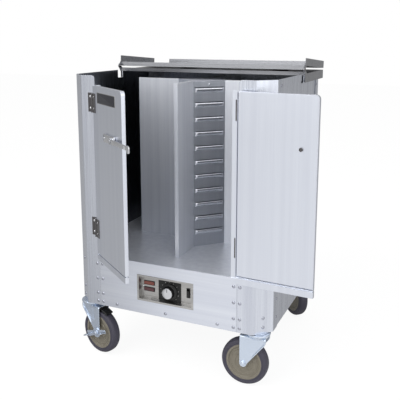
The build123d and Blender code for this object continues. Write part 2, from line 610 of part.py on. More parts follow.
def blower():
    """Motor on the pan, wheel on its shaft, a round housing up to the deck and a ring element in it."""
    under_deck = DECK_Z - DECK_SHEET
    shaft_top = FAN_Z + FAN_H
    motor = rod(MOTOR_R, (0, 0, PAN_TOP_Z), (0, 0, PAN_TOP_Z + MOTOR_H))
    motor += rod(SHAFT_R, (0, 0, PAN_TOP_Z), (0, 0, shaft_top))
    parts["blower_motor"] = motor

    housing = rod(HOUSING_R, (0, 0, PAN_TOP_Z), (0, 0, under_deck))
    housing -= rod(HOUSING_R - HOUSING_SHEET, (0, 0, PAN_Z), (0, 0, DECK_Z))
    for turn in range(4):
        window = Pos(HOUSING_R, 0, PAN_TOP_Z + 12 + HOUSING_WINDOW_H / 2)
        housing -= Rot(0, 0, 45 + 90 * turn) * window * Box(HOUSING_R / 2, HOUSING_WINDOW_W, HOUSING_WINDOW_H)
    element_z = under_deck - ELEMENT_DROP
    ends = [(-HOUSING_R - 8, side * 12, element_z) for side in (-1, 1)]
    starts = [(-ELEMENT_RING_R + 1.5, side * 12, element_z) for side in (-1, 1)]
    for start, end in zip(starts, ends):
        housing -= rod(ELEMENT_R + RUNNING_FIT, start, end)
    parts["blower_housing"] = housing

    ring = Pos(0, 0, element_z) * Torus(ELEMENT_RING_R, ELEMENT_R)
    for start, end in zip(starts, ends):
        ring += rod(ELEMENT_R, start, end)
    parts["heater_element"] = ring

    fan = rod(FAN_R, (0, 0, FAN_Z), (0, 0, FAN_Z + FAN_SHEET))
    fan += rod(SHAFT_R + 6, (0, 0, FAN_Z), (0, 0, FAN_Z + FAN_H - 12))
    rim = rod(FAN_R, (0, 0, FAN_Z + FAN_H - FAN_SHEET), (0, 0, FAN_Z + FAN_H))
    fan += rim - rod(FAN_R - FAN_BLADE_L, (0, 0, FAN_Z), (0, 0, FAN_Z + FAN_H + 1))
    for blade in range(FAN_BLADES):
        vane = Pos(FAN_R - FAN_BLADE_L / 2 - 0.5, 0, FAN_Z + FAN_H / 2) * Rot(0, 0, 35)
        fan += Rot(0, 0, 360 / FAN_BLADES * blade) * vane * Box(FAN_BLADE_L - 3, FAN_SHEET, FAN_H)
    parts["fan_wheel"] = fan - rod(SHAFT_R + RUNNING_FIT, (0, 0, FAN_Z - 1), (0, 0, FAN_Z + FAN_H + 1))


def power_inlet():
    """Flanged inlet in the back wall with a sunk cup and three pins."""
    y = BACK_FACE_Y
    inlet = rod(INLET_R, (INLET_X, y, INLET_Z), (INLET_X, y + INLET_T, INLET_Z))
    floor_y = y - INLET_DEPTH
    inlet += rod(INLET_CUP_R, (INLET_X, floor_y - INLET_WALL, INLET_Z), (INLET_X, y + INLET_T, INLET_Z))
    inlet -= rod(INLET_CUP_R - INLET_WALL, (INLET_X, floor_y, INLET_Z), (INLET_X, y + INLET_T + 1, INLET_Z))
    for turn in range(3):
        x = INLET_X + INLET_PIN_RING * cos(radians(90 + 120 * turn))
        z = INLET_Z + INLET_PIN_RING * sin(radians(90 + 120 * turn))
        inlet += rod(INLET_PIN_R, (x, floor_y - 1, z), (x, y, z))
    parts["power_inlet"] = inlet


# ---------------------------------------------------------------- hinges
def knuckle_spans(start, length):
    """Low, middle and high span of a three-knuckle hinge."""
    third = length / 3
    return [(start, start + third - KNUCKLE_GAP), (start + third, start + 2 * third),
            (start + 2 * third + KNUCKLE_GAP, start + length)]


def door_frame_leaf(z):
    """Right-hand frame leaf: a foot on the post, a web out to the knuckles, pin and screws."""
    low, _, high = knuckle_spans(z, HINGE_L)
    web_x = PIN_X + KNUCKLE_R - HINGE_SHEET
    leaf = block(web_x, web_x + HINGE_LEAF, -HALF_D - HINGE_SHEET, -HALF_D, z, z + HINGE_L)
    solids = []
    for span in (low, high):
        leaf += block(web_x, web_x + HINGE_SHEET, PIN_Y, -HALF_D, *span)
        leaf += rod(KNUCKLE_R, (PIN_X, PIN_Y, span[0]), (PIN_X, PIN_Y, span[1]))
    leaf -= rod(PIN_R + RUNNING_FIT, (PIN_X, PIN_Y, z - 1), (PIN_X, PIN_Y, z + HINGE_L + 1))
    solids.append(leaf)
    solids.append(rod(PIN_R, (PIN_X, PIN_Y, z), (PIN_X, PIN_Y, z + HINGE_L)))
    for share in (0.2, 0.8):
        at = (web_x + HINGE_LEAF * 0.6, -HALF_D - HINGE_SHEET, z + HINGE_L * share)
        solids.append(head(SCREW_R, SCREW_H, at, (0, -1, 0)))
    return solids


def door_leaf(z):
    """Right-hand door leaf on the outside of the door, with its middle knuckle and screws."""
    _, middle, _ = knuckle_spans(z, HINGE_L)
    plate_x = DOOR_EDGE_X
    leaf = block(plate_x - HINGE_LEAF, plate_x, DOOR_FACE_Y - HINGE_SHEET, DOOR_FACE_Y, z, z + HINGE_L)
    leaf += block(plate_x, PIN_X, DOOR_FACE_Y - HINGE_SHEET, DOOR_FACE_Y, *middle)
    leaf += rod(KNUCKLE_R, (PIN_X, PIN_Y, middle[0]), (PIN_X, PIN_Y, middle[1]))
    leaf -= rod(PIN_R + RUNNING_FIT, (PIN_X, PIN_Y, z), (PIN_X, PIN_Y, z + HINGE_L))
    solids = [leaf]
    for share in (0.2, 0.8):
        at = (plate_x - HINGE_LEAF * 0.5, DOOR_FACE_Y - HINGE_SHEET, z + HINGE_L * share)
        solids.append(head(SCREW_R, SCREW_H, at, (0, -1, 0)))
    return solids


def cover_frame_leaf(x):
    """Leaf of the rear hinge on the back wall, its pin and screws; x is its low end."""
    low, _, high = knuckle_spans(x, REAR_HINGE_L)
    y = BACK_FACE_Y
    leaf = block(x, x + REAR_HINGE_L, y, y + HINGE_SHEET, RIM_Z - REAR_LEAF_PLATE, RIM_Z - 0.5)
    for span in (low, high):
        leaf += block(*span, y, y + HINGE_SHEET, RIM_Z - 1, REAR_PIN_Z)
        leaf += rod(KNUCKLE_R, (span[0], REAR_PIN_Y, REAR_PIN_Z), (span[1], REAR_PIN_Y, REAR_PIN_Z))
    end = x + REAR_HINGE_L
    leaf -= rod(PIN_R + RUNNING_FIT, (x - 1, REAR_PIN_Y, REAR_PIN_Z), (end + 1, REAR_PIN_Y, REAR_PIN_Z))
    solids = [leaf, rod(PIN_R, (x, REAR_PIN_Y, REAR_PIN_Z), (end, REAR_PIN_Y, REAR_PIN_Z))]
    for share in (0.2, 0.8):
        at = (x + REAR_HINGE_L * share, y + HINGE_SHEET, RIM_Z - REAR_LEAF_PLATE * 0.6)
        solids.append(head(SCREW_R, SCREW_H, at, (0, 1, 0)))
    return solids


def cover_leaf_plate(x):
    """Leaf of the rear hinge on top of the cover, with its middle knuckle and screws."""
    _, middle, _ = knuckle_spans(x, REAR_HINGE_L)
    stop = BACK_FACE_Y - 2 * KNUCKLE_GAP
    leaf = block(x, x + REAR_HINGE_L, stop - REAR_LEAF_PLATE, stop, COVER_TOP_Z, COVER_TOP_Z + HINGE_SHEET)
    leaf += block(*middle, stop, REAR_PIN_Y, COVER_TOP_Z, COVER_TOP_Z + HINGE_SHEET)
    leaf += rod(KNUCKLE_R, (middle[0], REAR_PIN_Y, REAR_PIN_Z), (middle[1], REAR_PIN_Y, REAR_PIN_Z))
    leaf -= rod(PIN_R + RUNNING_FIT, (x, REAR_PIN_Y, REAR_PIN_Z), (x + REAR_HINGE_L, REAR_PIN_Y, REAR_PIN_Z))
    solids = [leaf]
    for share in (0.2, 0.8):
        at = (x + REAR_HINGE_L * share, stop - REAR_LEAF_PLATE * 0.5, COVER_TOP_Z + HINGE_SHEET)
        solids.append(head(SCREW_R, SCREW_H, at, (0, 0, 1)))
    return solids


REAR_HINGE_STARTS = (-REAR_HINGE_X - REAR_HINGE_L / 2, REAR_HINGE_X - REAR_HINGE_L / 2)


def frame_hinges():
    leaves = [solid for z in HINGE_ZS for solid in door_frame_leaf(z)]
    leaves += [other_side(solid) for solid in leaves]
    leaves += [solid for x in REAR_HINGE_STARTS for solid in cover_frame_leaf(x)]
    parts["fixed_hinge_leaves"] = group(leaves)


# ---------------------------------------------------------------- doors
def rounded_block(x0, x1, y0, y1, z0, z1, corner_x, corner_z, radius):
    """A block with one corner rounded in its front view."""
    solid = block(x0, x1, y0, y1, z0, z1)
    near = [edge for edge in solid.edges().filter_by(Axis.Y)
            if abs(edge.center().X - corner_x) < 0.1 and abs(edge.center().Z - corner_z) < 0.1]
    return fillet(near, radius)


def door_pieces():
    """Panel, liner, bottom rail and hinge leaves of the right door, closed."""
    x0, x1 = DOOR_FREE_X, DOOR_EDGE_X
    panel = rounded_block(x0, x1, DOOR_FACE_Y, DOOR_BACK_Y, PANEL_LOW_Z, DOOR_TOP_Z,
                          x0, DOOR_TOP_Z, DOOR_CORNER_R)
    inside = rounded_block(x0 + DOOR_SKIN, x1 - DOOR_SKIN, DOOR_FACE_Y + DOOR_SKIN, DOOR_BACK_Y + 1,
                           PANEL_LOW_Z + DOOR_SKIN, DOOR_TOP_Z - DOOR_SKIN,
                           x0 + DOOR_SKIN, DOOR_TOP_Z - DOOR_SKIN, DOOR_CORNER_R - DOOR_SKIN)
    panel -= inside
    liner = rounded_block(x0 + DOOR_SKIN, x1 - DOOR_SKIN - DOOR_REVEAL, DOOR_FACE_Y + DOOR_SKIN, DOOR_BACK_Y,
                          PANEL_LOW_Z + DOOR_SKIN + DOOR_REVEAL, DOOR_TOP_Z - DOOR_SKIN,
                          x0 + DOOR_SKIN, DOOR_TOP_Z - DOOR_SKIN, DOOR_CORNER_R - DOOR_SKIN)
    liner -= block(x0 + 2 * DOOR_SKIN, x1 - 2 * DOOR_SKIN - DOOR_REVEAL, DOOR_FACE_Y, DOOR_BACK_Y - DOOR_SKIN,
                   PANEL_LOW_Z + 2 * DOOR_SKIN + DOOR_REVEAL, DOOR_TOP_Z - DOOR_SKIN - DOOR_CORNER_R)
    rail_top = DOOR_LOW_Z + RAIL_H
    rail = rounded_block(x0, x1, DOOR_FACE_Y, DOOR_BACK_Y, DOOR_LOW_Z, rail_top,
                         x1, DOOR_LOW_Z, RAIL_CORNER_R)
    middle = (DOOR_FACE_Y + DOOR_BACK_Y) / 2
    rail += block(x0 + 2, x1 - 2, middle - RAIL_TONGUE / 2, middle + RAIL_TONGUE / 2,
                  rail_top - 1, PANEL_LOW_Z)
    leaves = group([solid for z in HINGE_ZS for solid in door_leaf(z)])
    return {"panel": panel, "liner": liner, "rail": rail, "hinge_leaves": leaves}


def left_place(door_angle):
    """Turns what is built on the closed left door to the angle the door stands at."""
    return Pos(-PIN_X, PIN_Y, 0) * Rot(0, 0, -door_angle) * Pos(PIN_X, -PIN_Y, 0)


def right_place(door_angle):
    return Pos(PIN_X, PIN_Y, 0) * Rot(0, 0, door_angle) * Pos(-PIN_X, -PIN_Y, 0)


def doors():
    for name, piece in door_pieces().items():
        parts["right_door_" + name] = right_place(RIGHT_DOOR_ANGLE) * piece
        parts["left_door_" + name] = left_place(LEFT_DOOR_ANGLE) * other_side(piece)
    plate_x = -PIN_X + NAMEPLATE_AT
    plate_z = DOOR_TOP_Z - NAMEPLATE_DROP
    plate = block(plate_x, plate_x + NAMEPLATE_W, DOOR_FACE_Y - NAMEPLATE_T, DOOR_FACE_Y,
                  plate_z - NAMEPLATE_H, plate_z)
    parts["nameplate"] = left_place(LEFT_DOOR_ANGLE) * plate


def latch():
    """Bar latch: a base plate with a pivot pin, a lever across both doors and a strike stud."""
    x = -PIN_X + LATCH_BASE_AT
    pivot_x = -PIN_X + LATCH_PIVOT_AT
    half = LATCH_BASE_H / 2
    pin_front = LEVER_FACE_Y - LEVER_GAP
    base_plate = block(x, x + LATCH_BASE_L, LATCH_BASE_Y, DOOR_FACE_Y, LATCH_Z - half, LATCH_Z + half)
    boss_y = LATCH_BASE_Y - LATCH_BOSS_T
    base_plate += rod(LATCH_BOSS_R, (pivot_x, LATCH_BASE_Y + 1, LATCH_Z), (pivot_x, boss_y, LATCH_Z))
    base_plate += rod(LATCH_PIN_R, (pivot_x, LATCH_BASE_Y, LATCH_Z), (pivot_x, pin_front - 1, LATCH_Z))
    base_plate += rod(LATCH_PIN_R + 3, (pivot_x, pin_front, LATCH_Z), (pivot_x, pin_front - 2.5, LATCH_Z))
    parts["latch_base"] = left_place(LEFT_DOOR_ANGLE) * base_plate

    low, high = LATCH_Z - LEVER_H / 2, LATCH_Z + LEVER_H / 2
    end_x = -PIN_X + LEVER_END_AT
    lever = block(pivot_x, end_x, LEVER_FACE_Y, LEVER_BACK_Y, low, high)
    lever += rod(LATCH_BOSS_R, (pivot_x, LEVER_FACE_Y, LATCH_Z), (pivot_x, LEVER_BACK_Y, LATCH_Z))
    lever += block(end_x - HOOK_L, end_x, LEVER_FACE_Y, LEVER_BACK_Y, low - 7, high)
    stud_x = PIN_X - STUD_AT
    slot = STUD_R + STUD_CLEAR
    lever -= block(stud_x - slot, stud_x + slot, LEVER_FACE_Y - 1, LEVER_BACK_Y + 1, low - 9, LATCH_Z)
    lever -= rod(slot, (stud_x, LEVER_FACE_Y - 1, LATCH_Z), (stud_x, LEVER_BACK_Y + 1, LATCH_Z))
    bore_r = LATCH_PIN_R + RUNNING_FIT
    lever -= rod(bore_r, (pivot_x, LEVER_FACE_Y - 1, LATCH_Z), (pivot_x, LEVER_BACK_Y + 1, LATCH_Z))
    parts["latch_lever"] = left_place(LEFT_DOOR_ANGLE) * lever

    stud = rod(STUD_R, (stud_x, DOOR_FACE_Y, LATCH_Z), (stud_x, pin_front - 1, LATCH_Z))
    stud += rod(STUD_HEAD_R, (stud_x, pin_front, LATCH_Z), (stud_x, pin_front - 3, LATCH_Z))
    stud += rod(STUD_R + 3, (stud_x, DOOR_FACE_Y, LATCH_Z), (stud_x, DOOR_FACE_Y - 2, LATCH_Z))
    nut_seat = Plane(origin=(stud_x, DOOR_BACK_Y, LATCH_Z), z_dir=(0, 1, 0))
    nut = extrude(nut_seat * RegularPolygon(STUD_NUT_R, 6), 4)
    parts["strike_stud"] = group([right_place(RIGHT_DOOR_ANGLE) * piece for piece in (stud, nut)])


# ---------------------------------------------------------------- top cover
def ear(turned):
    """Outline of a pivot ear about the fold pin; turned gives the front leaf's, the mirror image."""
    way = -1 if turned else 1
    points = [(FOLD_Y - way * EAR_R, FOLD_Z), (FOLD_Y + way * EAR_R, FOLD_Z),
              (FOLD_Y + way * EAR_BASE, COVER_TOP_Z), (FOLD_Y + way * EAR_BASE, RIM_Z - EAR_DROP),
              (FOLD_Y + way * (REAR_LEAF_Y - FOLD_Y), RIM_Z - EAR_DROP)]
    return points


def rear_cover():
    """Rear leaf: flat on the rim, side skirts, a front bar and an ear at each end for the fold pins."""
    back = HALF_D + REAR_LEAF_BACK
    leaf = block(-COVER_X, COVER_X, REAR_LEAF_Y, back, RIM_Z, COVER_TOP_Z)
    leaf += block(-COVER_X, COVER_X, REAR_LEAF_Y, REAR_LEAF_Y + COVER_SHEET, RIM_Z - BAR_DOWN, RIM_Z + BAR_UP)
    for x in REAR_HINGE_STARTS:
        leaf -= block(x - 1, x + REAR_HINGE_L + 1, BACK_FACE_Y - KNUCKLE_GAP, back + 1,
                      RIM_Z - 1, COVER_TOP_Z + 1)
    plate = block(COVER_X - COVER_SHEET, COVER_X, REAR_LEAF_Y, back, RIM_Z - COVER_SKIRT, COVER_TOP_Z)
    lug = sideways(ear(False), COVER_X - COVER_SHEET, COVER_X)
    lug += rod(EAR_R, (COVER_X - COVER_SHEET, FOLD_Y, FOLD_Z), (COVER_X, FOLD_Y, FOLD_Z))
    lug -= rod(FOLD_PIN_R + RUNNING_FIT, (COVER_X - 9, FOLD_Y, FOLD_Z), (COVER_X + 9, FOLD_Y, FOLD_Z))
    leaf += [plate, other_side(plate), lug, other_side(lug)]
    parts["rear_cover"] = leaf

    inner_x = COVER_X - 2 * COVER_SHEET - 2 * EAR_GAP
    pin = rod(FOLD_PIN_R, (inner_x - FOLD_HEAD_H, FOLD_Y, FOLD_Z), (COVER_X, FOLD_Y, FOLD_Z))
    outer_x = COVER_X + SEAT_GAP
    pin += rod(FOLD_PIN_R, (COVER_X - 1, FOLD_Y, FOLD_Z), (outer_x + 1, FOLD_Y, FOLD_Z))
    pin += rod(FOLD_HEAD_R, (outer_x, FOLD_Y, FOLD_Z), (outer_x + FOLD_HEAD_H, FOLD_Y, FOLD_Z))
    pin += rod(FOLD_HEAD_R, (inner_x - FOLD_HEAD_H, FOLD_Y, FOLD_Z), (inner_x, FOLD_Y, FOLD_Z))
    plates = [solid for x in REAR_HINGE_STARTS for solid in cover_leaf_plate(x)]
    parts["cover_hinge_leaves"] = group(plates + [pin, other_side(pin)])


def front_cover():
    """Front leaf, built closed and folded back: cut front corners, flanges below, a strip along the fold."""
    x, y = COVER_X, COVER_Y
    side_end, front_end = COVER_CUT_Y - y, x - COVER_CUT_X
    web = [(-x, FRONT_LEAF_Y), (-x, side_end), (-front_end, -y),
           (front_end, -y), (x, side_end), (x, FRONT_LEAF_Y)]
    leaf = upright(web, RIM_Z, COVER_TOP_Z)
    low = COVER_TOP_Z - COVER_FLANGE
    leaf += block(-front_end, front_end, -y, COVER_SHEET - y, low, COVER_TOP_Z)
    strip_x = x - 2 * COVER_SHEET - EAR_GAP
    strip_top = RIM_Z + UPSTAND_H
    leaf += block(-strip_x, strip_x, FRONT_LEAF_Y - COVER_SHEET, FRONT_LEAF_Y, RIM_Z, strip_top)
    ledge_x = HALF_W - POST_SHEET
    leaf += block(-ledge_x, ledge_x, FRONT_LEAF_Y - COVER_SHEET, FRONT_LEAF_Y + UPSTAND_LEDGE,
                  strip_top - COVER_SHEET, strip_top)
    plate = block(x - COVER_SHEET, x, side_end, FRONT_LEAF_Y, low, COVER_TOP_Z)
    ear_x = x - COVER_SHEET - EAR_GAP
    lug = sideways(ear(True), ear_x - COVER_SHEET, ear_x)
    lug += rod(EAR_R, (ear_x - COVER_SHEET, FOLD_Y, FOLD_Z), (ear_x, FOLD_Y, FOLD_Z))
    lug += block(ear_x - COVER_SHEET, x, FOLD_Y - EAR_BASE, FRONT_LEAF_Y, RIM_Z - EAR_DROP, COVER_TOP_Z)
    lug -= rod(FOLD_PIN_R + RUNNING_FIT, (x - 9, FOLD_Y, FOLD_Z), (x + 9, FOLD_Y, FOLD_Z))
    leaf += [plate, other_side(plate), lug, other_side(lug)]
    fold = Pos(0, FOLD_Y, FOLD_Z) * Rot(-FOLD_ANGLE, 0, 0) * Pos(0, -FOLD_Y, -FOLD_Z)
    parts["front_cover"] = fold * leaf


# ---------------------------------------------------------------- casters
def caster_plate(x, y):
    """Fixed plate with its corner cut along the post, ball race, king pin and bolt heads."""
    way_x = 1 if x > 0 else -1
    way_y = 1 if y > 0 else -1
    top = CASTER_H
    low = top - PLATE_T
    plate = Pos(x, y, low + PLATE_T / 2) * Box(2 * PLATE_HALF_X, 2 * PLATE_HALF_Y, PLATE_T)
    plate &= upright(octagon(POST_SHEET + PLATE_CLEAR), low, top)
    plate += rod(RACE_R, (x, y, low - RACE_H), (x, y, BODY_BOTTOM_Z - SHEET_GAP))
    plate += rod(NECK_R, (x, y, low - RACE_H), (x, y, low))
    pin_low = CROWN_Z - HEAD_GAP
    plate += rod(KINGPIN_R, (x, y, pin_low - 1), (x, y, low))
    plate += rod(KINGPIN_HEAD_R, (x, y, pin_low - KINGPIN_HEAD_H), (x, y, pin_low))
    solids = [plate]
    for bolt_x, bolt_y in ((-BOLT_X, -BOLT_Y), (-BOLT_X, BOLT_Y), (BOLT_X, -BOLT_Y)):
        at = (x + way_x * bolt_x, y + way_y * bolt_y, low - SEAT_GAP)
        head = Plane(origin=at, z_dir=(0, 0, -1)) * RegularPolygon(BOLT_HEAD_R, 6)
        solids.append(extrude(head, BOLT_HEAD_H))
    return solids


def fork(braked):
    """Swivel fork about the swivel axis, its trail along +X: head, crown, two raked legs and the axle."""
    head_shape = loft([Plane.XY.offset(CROWN_TOP_Z) * Circle(HEAD_R - 3),
                       Plane.XY.offset(HEAD_TOP_Z) * Circle(HEAD_R)])
    body = head_shape
    front = TRAIL + LEG_FRONT
    body += block(-HEAD_R * 0.8, front, -LEG_OUTER, LEG_OUTER, CROWN_Z, CROWN_TOP_Z)
    side = [(-HEAD_R * 0.8, CROWN_TOP_Z), (front, CROWN_TOP_Z),
            (front, WHEEL_R), (TRAIL - LEG_FRONT, WHEEL_R),
            (-HEAD_R * 0.8, CROWN_Z - 14)]
    for way in (-1, 1):
        leg = facing(side, way * LEG_INNER, way * LEG_OUTER)
        leg += rod(LEG_FRONT, (TRAIL, way * LEG_INNER, WHEEL_R), (TRAIL, way * LEG_OUTER, WHEEL_R))
        body += leg
    body -= rod(KINGPIN_R + RUNNING_FIT, (0, 0, CROWN_Z - 1), (0, 0, HEAD_TOP_Z + 1))
    body -= rod(AXLE_R + RUNNING_FIT, (TRAIL, -LEG_OUTER - 1, WHEEL_R), (TRAIL, LEG_OUTER + 1, WHEEL_R))
    nut_at = LEG_OUTER + (PEDAL_T + 2 * SHEET_GAP if braked else SEAT_GAP)
    head_at = LEG_OUTER + SEAT_GAP
    axle = rod(AXLE_R, (TRAIL, -nut_at - 1, WHEEL_R), (TRAIL, head_at + 1, WHEEL_R))
    axle += rod(AXLE_HEAD_R, (TRAIL, head_at, WHEEL_R), (TRAIL, head_at + AXLE_HEAD_H, WHEEL_R))
    axle += rod(AXLE_HEAD_R, (TRAIL, -nut_at, WHEEL_R), (TRAIL, -nut_at - AXLE_HEAD_H, WHEEL_R))
    solids = [body, axle]
    return solids


def wheel():
    """Tyre and hub about the axle, which runs along Y through the origin."""
    half = WHEEL_W / 2
    band = make_face(Polyline((RIM_R, -half), (WHEEL_R - TREAD_R, -half), (WHEEL_R, -half + TREAD_R),
                              (WHEEL_R, half - TREAD_R), (WHEEL_R - TREAD_R, half), (RIM_R, half),
                              close=True))
    tyre = revolve(Plane.XY * band, Axis.Y)
    rounding = [edge for edge in tyre.edges().filter_by(GeomType.CIRCLE)
                if abs(edge.radius - WHEEL_R) < 0.1]
    tyre = fillet(rounding, TREAD_R * 0.8)
    web, lip = half - HUB_DISH, RIM_R - HUB_LIP
    bore = AXLE_R + RUNNING_FIT
    boss = LEG_INNER - SHEET_GAP
    section = make_face(Polyline((bore, -boss), (BOSS_R, -boss), (BOSS_R + 4, -web), (lip - 4, -web),
                                 (lip, -half), (RIM_R, -half), (RIM_R, half), (lip, half),
                                 (lip - 4, web), (BOSS_R + 4, web),
                                 (BOSS_R, boss), (bore, boss), close=True))
    return tyre, revolve(section, Axis.Y)


def brake_shoe():
    """Black pad over the tyre, hung under the crown."""
    inner, outer = WHEEL_R + SHOE_GAP, WHEEL_R + SHOE_GAP + SHOE_T
    half = SHOE_W / 2
    ring = rod(outer, (0, -half, 0), (0, half, 0)) - rod(inner, (0, -half, 0), (0, half, 0))
    reach = 2 * outer
    spread = reach * sin(radians(SHOE_HALF_ANGLE)) / cos(radians(SHOE_HALF_ANGLE))
    wedge = facing([(0, 0), (spread, reach), (-spread, reach)], -half, half)
    pad = Pos(TRAIL, 0, WHEEL_R) * Rot(0, SHOE_LEAN_ANGLE, 0) * (ring & wedge)
    hanger = block(TRAIL - SHOE_HANGER, TRAIL + LEG_FRONT, -half, half, WHEEL_R + outer - 2, CROWN_Z)
    return (pad & block(TRAIL - outer, TRAIL + outer, -half, half, WHEEL_R, CROWN_Z)) + hanger


def brake_pedal():
    """Rocking lever on the axle: a boss, an arm each way and a foot tab at either end."""
    near, far = -LEG_OUTER - SHEET_GAP, -LEG_OUTER - SHEET_GAP - PEDAL_T
    half = PEDAL_H / 2
    pedal = facing([(-PEDAL_REACH, -half), (PEDAL_REACH, -half * 0.6),
                    (PEDAL_REACH, half * 0.6), (-PEDAL_REACH, half)], far, near)
    pedal += rod(PEDAL_BOSS_R, (0, far, 0), (0, near, 0))
    for way in (-1, 1):
        pedal += block(way * (PEDAL_REACH - PEDAL_TAB_L), way * PEDAL_REACH, near - PEDAL_TAB, near,
                       -PEDAL_T / 2, PEDAL_T / 2)
    pedal -= rod(AXLE_R + RUNNING_FIT, (0, far - 1, 0), (0, near + 1, 0))
    return Rot(0, -PEDAL_TILT, 0) * pedal


def casters():
    plates = []
    tyre, hub = wheel()
    for name, (x, y) in CASTER_PLACES.items():
        braked = name in BRAKED
        plates += caster_plate(x, y)
        place = Pos(x, y, 0) * Rot(0, 0, CASTER_YAW_ANGLES[name])
        axle = place * Pos(TRAIL, 0, WHEEL_R)
        parts["caster_fork_" + name] = group([place * solid for solid in fork(braked)])
        parts["caster_tyre_" + name] = axle * tyre
        parts["caster_hub_" + name] = axle * hub
        if braked:
            parts["brake_shoe_" + name] = place * brake_shoe()
            parts["brake_pedal_" + name] = axle * brake_pedal()
    parts["caster_plates"] = group(plates)


# ---------------------------------------------------------------- rivets
def rivets():
    """Round heads along the post seams, the bottom edge and the corners."""
    solids = []
    for side in (-1, 1):
        for up in SEAM_RIVETS:
            for x in (SEAM_X - RIVET_EDGE, SEAM_X + RIVET_EDGE):
                solids.append(head(RIVET_R, RIVET_H, (side * x, -HALF_D, BODY_BOTTOM_Z + up), (0, -1, 0)))
        for z in [RIM_Z - drop for drop in RIM_RIVETS] + [BODY_BOTTOM_Z + up for up in SIDE_RIVETS]:
            for y in (-SEAM_Y - RIVET_EDGE, SEAM_Y + RIVET_EDGE):
                solids.append(head(RIVET_R, RIVET_H, (side * HALF_W, y, z), (side, 0, 0)))
        for up in CORNER_RIVETS:
            for way in (-1, 1):
                at = (side * (HALF_W - CORNER / 2), way * (HALF_D - CORNER / 2), BODY_BOTTOM_Z + up)
                solids.append(head(RIVET_R, RIVET_H, at, (side, way, 0)))
    for x in BOTTOM_RIVET_X:
        solids.append(head(RIVET_R, RIVET_H, (x, -HALF_D, BODY_BOTTOM_Z + BOTTOM_RIVET_UP), (0, -1, 0)))
    parts["body_rivets"] = group(solids)


# ---------------------------------------------------------------- the whole cart
cabinet()
base()
controls()
air_duct()
fins()
blower()
power_inlet()
frame_hinges()
doors()
latch()
rear_cover()
front_cover()
casters()
rivets()

boxes = [shape.bounding_box() for shape in parts.values()]
MIDDLE_X = (min(box.min.X for box in boxes) + max(box.max.X for box in boxes)) / 2
MIDDLE_Y = (min(box.min.Y for box in boxes) + max(box.max.Y for box in boxes)) / 2
FLOOR_Z = min(box.min.Z for box in boxes)

os.makedirs("parts", exist_ok=True)
for node, shape in parts.items():
    parts[node] = Pos(-MIDDLE_X, -MIDDLE_Y, -FLOOR_Z) * shape
    export_step(parts[node], f"parts/{node}.step")
print(len(parts), "nodes; origin moved by", round(MIDDLE_X, 3), round(MIDDLE_Y, 3), round(FLOOR_Z, 3))
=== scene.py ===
"""Looks of the plate dispenser cart: satin aluminium sheet, dull hinges, zinc-plated casters, black controls.

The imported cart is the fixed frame, in metres. Flat sheet pieces keep their own shape and get a finish here.
Round and pressed pieces are worked out again below as smooth surfaces: wheels, forks, brakes, louvred duct,
knob, lamps, nameplate, latch and rivets. Their sizes are in millimetres from the floor under the middle of
the cabinet, with the front at -Y.
"""
import math

import bmesh
import bpy
import numpy as np
from mathutils import Matrix


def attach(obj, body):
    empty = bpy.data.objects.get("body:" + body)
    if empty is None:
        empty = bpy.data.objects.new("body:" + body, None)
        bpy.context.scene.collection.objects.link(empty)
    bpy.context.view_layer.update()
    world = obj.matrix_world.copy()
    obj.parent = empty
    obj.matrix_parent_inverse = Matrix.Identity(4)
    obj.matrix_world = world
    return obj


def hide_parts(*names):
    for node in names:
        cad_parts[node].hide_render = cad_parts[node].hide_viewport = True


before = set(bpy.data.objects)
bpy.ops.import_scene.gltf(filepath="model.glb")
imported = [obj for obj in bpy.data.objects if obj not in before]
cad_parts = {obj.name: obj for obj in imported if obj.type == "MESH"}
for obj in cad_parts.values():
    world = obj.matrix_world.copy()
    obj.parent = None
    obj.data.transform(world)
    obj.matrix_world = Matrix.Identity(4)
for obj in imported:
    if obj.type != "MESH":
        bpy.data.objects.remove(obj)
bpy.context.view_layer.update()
MM = 0.001
TAU = 2 * math.pi
CABINET_MIDDLE = np.array([-34.415, 75.008, 0.0])     # on the floor, in the frame of the whole cart

# Cabinet, with its seams and how far rivets sit beside them
HALF_W, HALF_D, CORNER = 345.0, 295.0, 50.0
SKIRT_LOW, DECK, DIVIDER_TOP, RIM = 184.0, 359.0, 931.0, 955.0
SEAM_X, SEAM_Y, RIVET_BESIDE = 243.0, 205.0, 10.0
# Radius and height of a rivet's head: the closed cover passes over the low ones
LOW_HEAD, HIGH_HEAD = (5.2, 1.65), (5.4, 3.0)
# Casters: swivel axis, direction of trail, and whether there is a brake
CASTERS = {"front_left": (-302.0, -256.0, -15.0, True), "front_right": (302.0, -256.0, 180.0, False),
           "rear_left": (-302.0, 256.0, 200.0, True), "rear_right": (302.0, 256.0, 135.0, False)}
WHEEL_R, WHEEL_W, RIM_R, TRAIL = 76.2, 33.0, 58.0, 42.0
HEAD_TOP, CROWN_TOP, CROWN_LOW = 182.0, 170.0, 166.0
LEG_OUTER, LEG_END, LEG_T = 24.0, 12.0, 3.5
# Fork: its back edge rakes out up to a height; the web is pressed in where the leg is wide enough
RAKE_TOP, RAKE_OUT = 152.0, 60.4
WEB_DEPTH, WEB_FROM, WEB_OVER = 4.0, 42.0, 14.0
# Axle nuts stand off the leg by a gap, or by the pedal between them, which is tilted by some degrees
NUT_GAP, PEDAL_ROOM, PEDAL_TILT = 0.05, 3.6, 20.0
# Left door, built closed and turned about its pin
PIN_X, PIN_Y, LEFT_DOOR_ANGLE = -243.0, -310.25, 37.2
DOOR_FACE, DOOR_TOP, LATCH_Z = -309.5, 925.0, 775.0
# Its hinges: low ends, length and where along it the screws sit; leaf thickness, and screws beside the pin
HINGE_Z, HINGE_L, SCREW_SHARES = (DECK + 71.0, RIM - 115.0), 61.0, (0.2, 0.8)
LEAF_T, FRAME_SCREW, DOOR_SCREW = 1.5, 15.7, 15.0
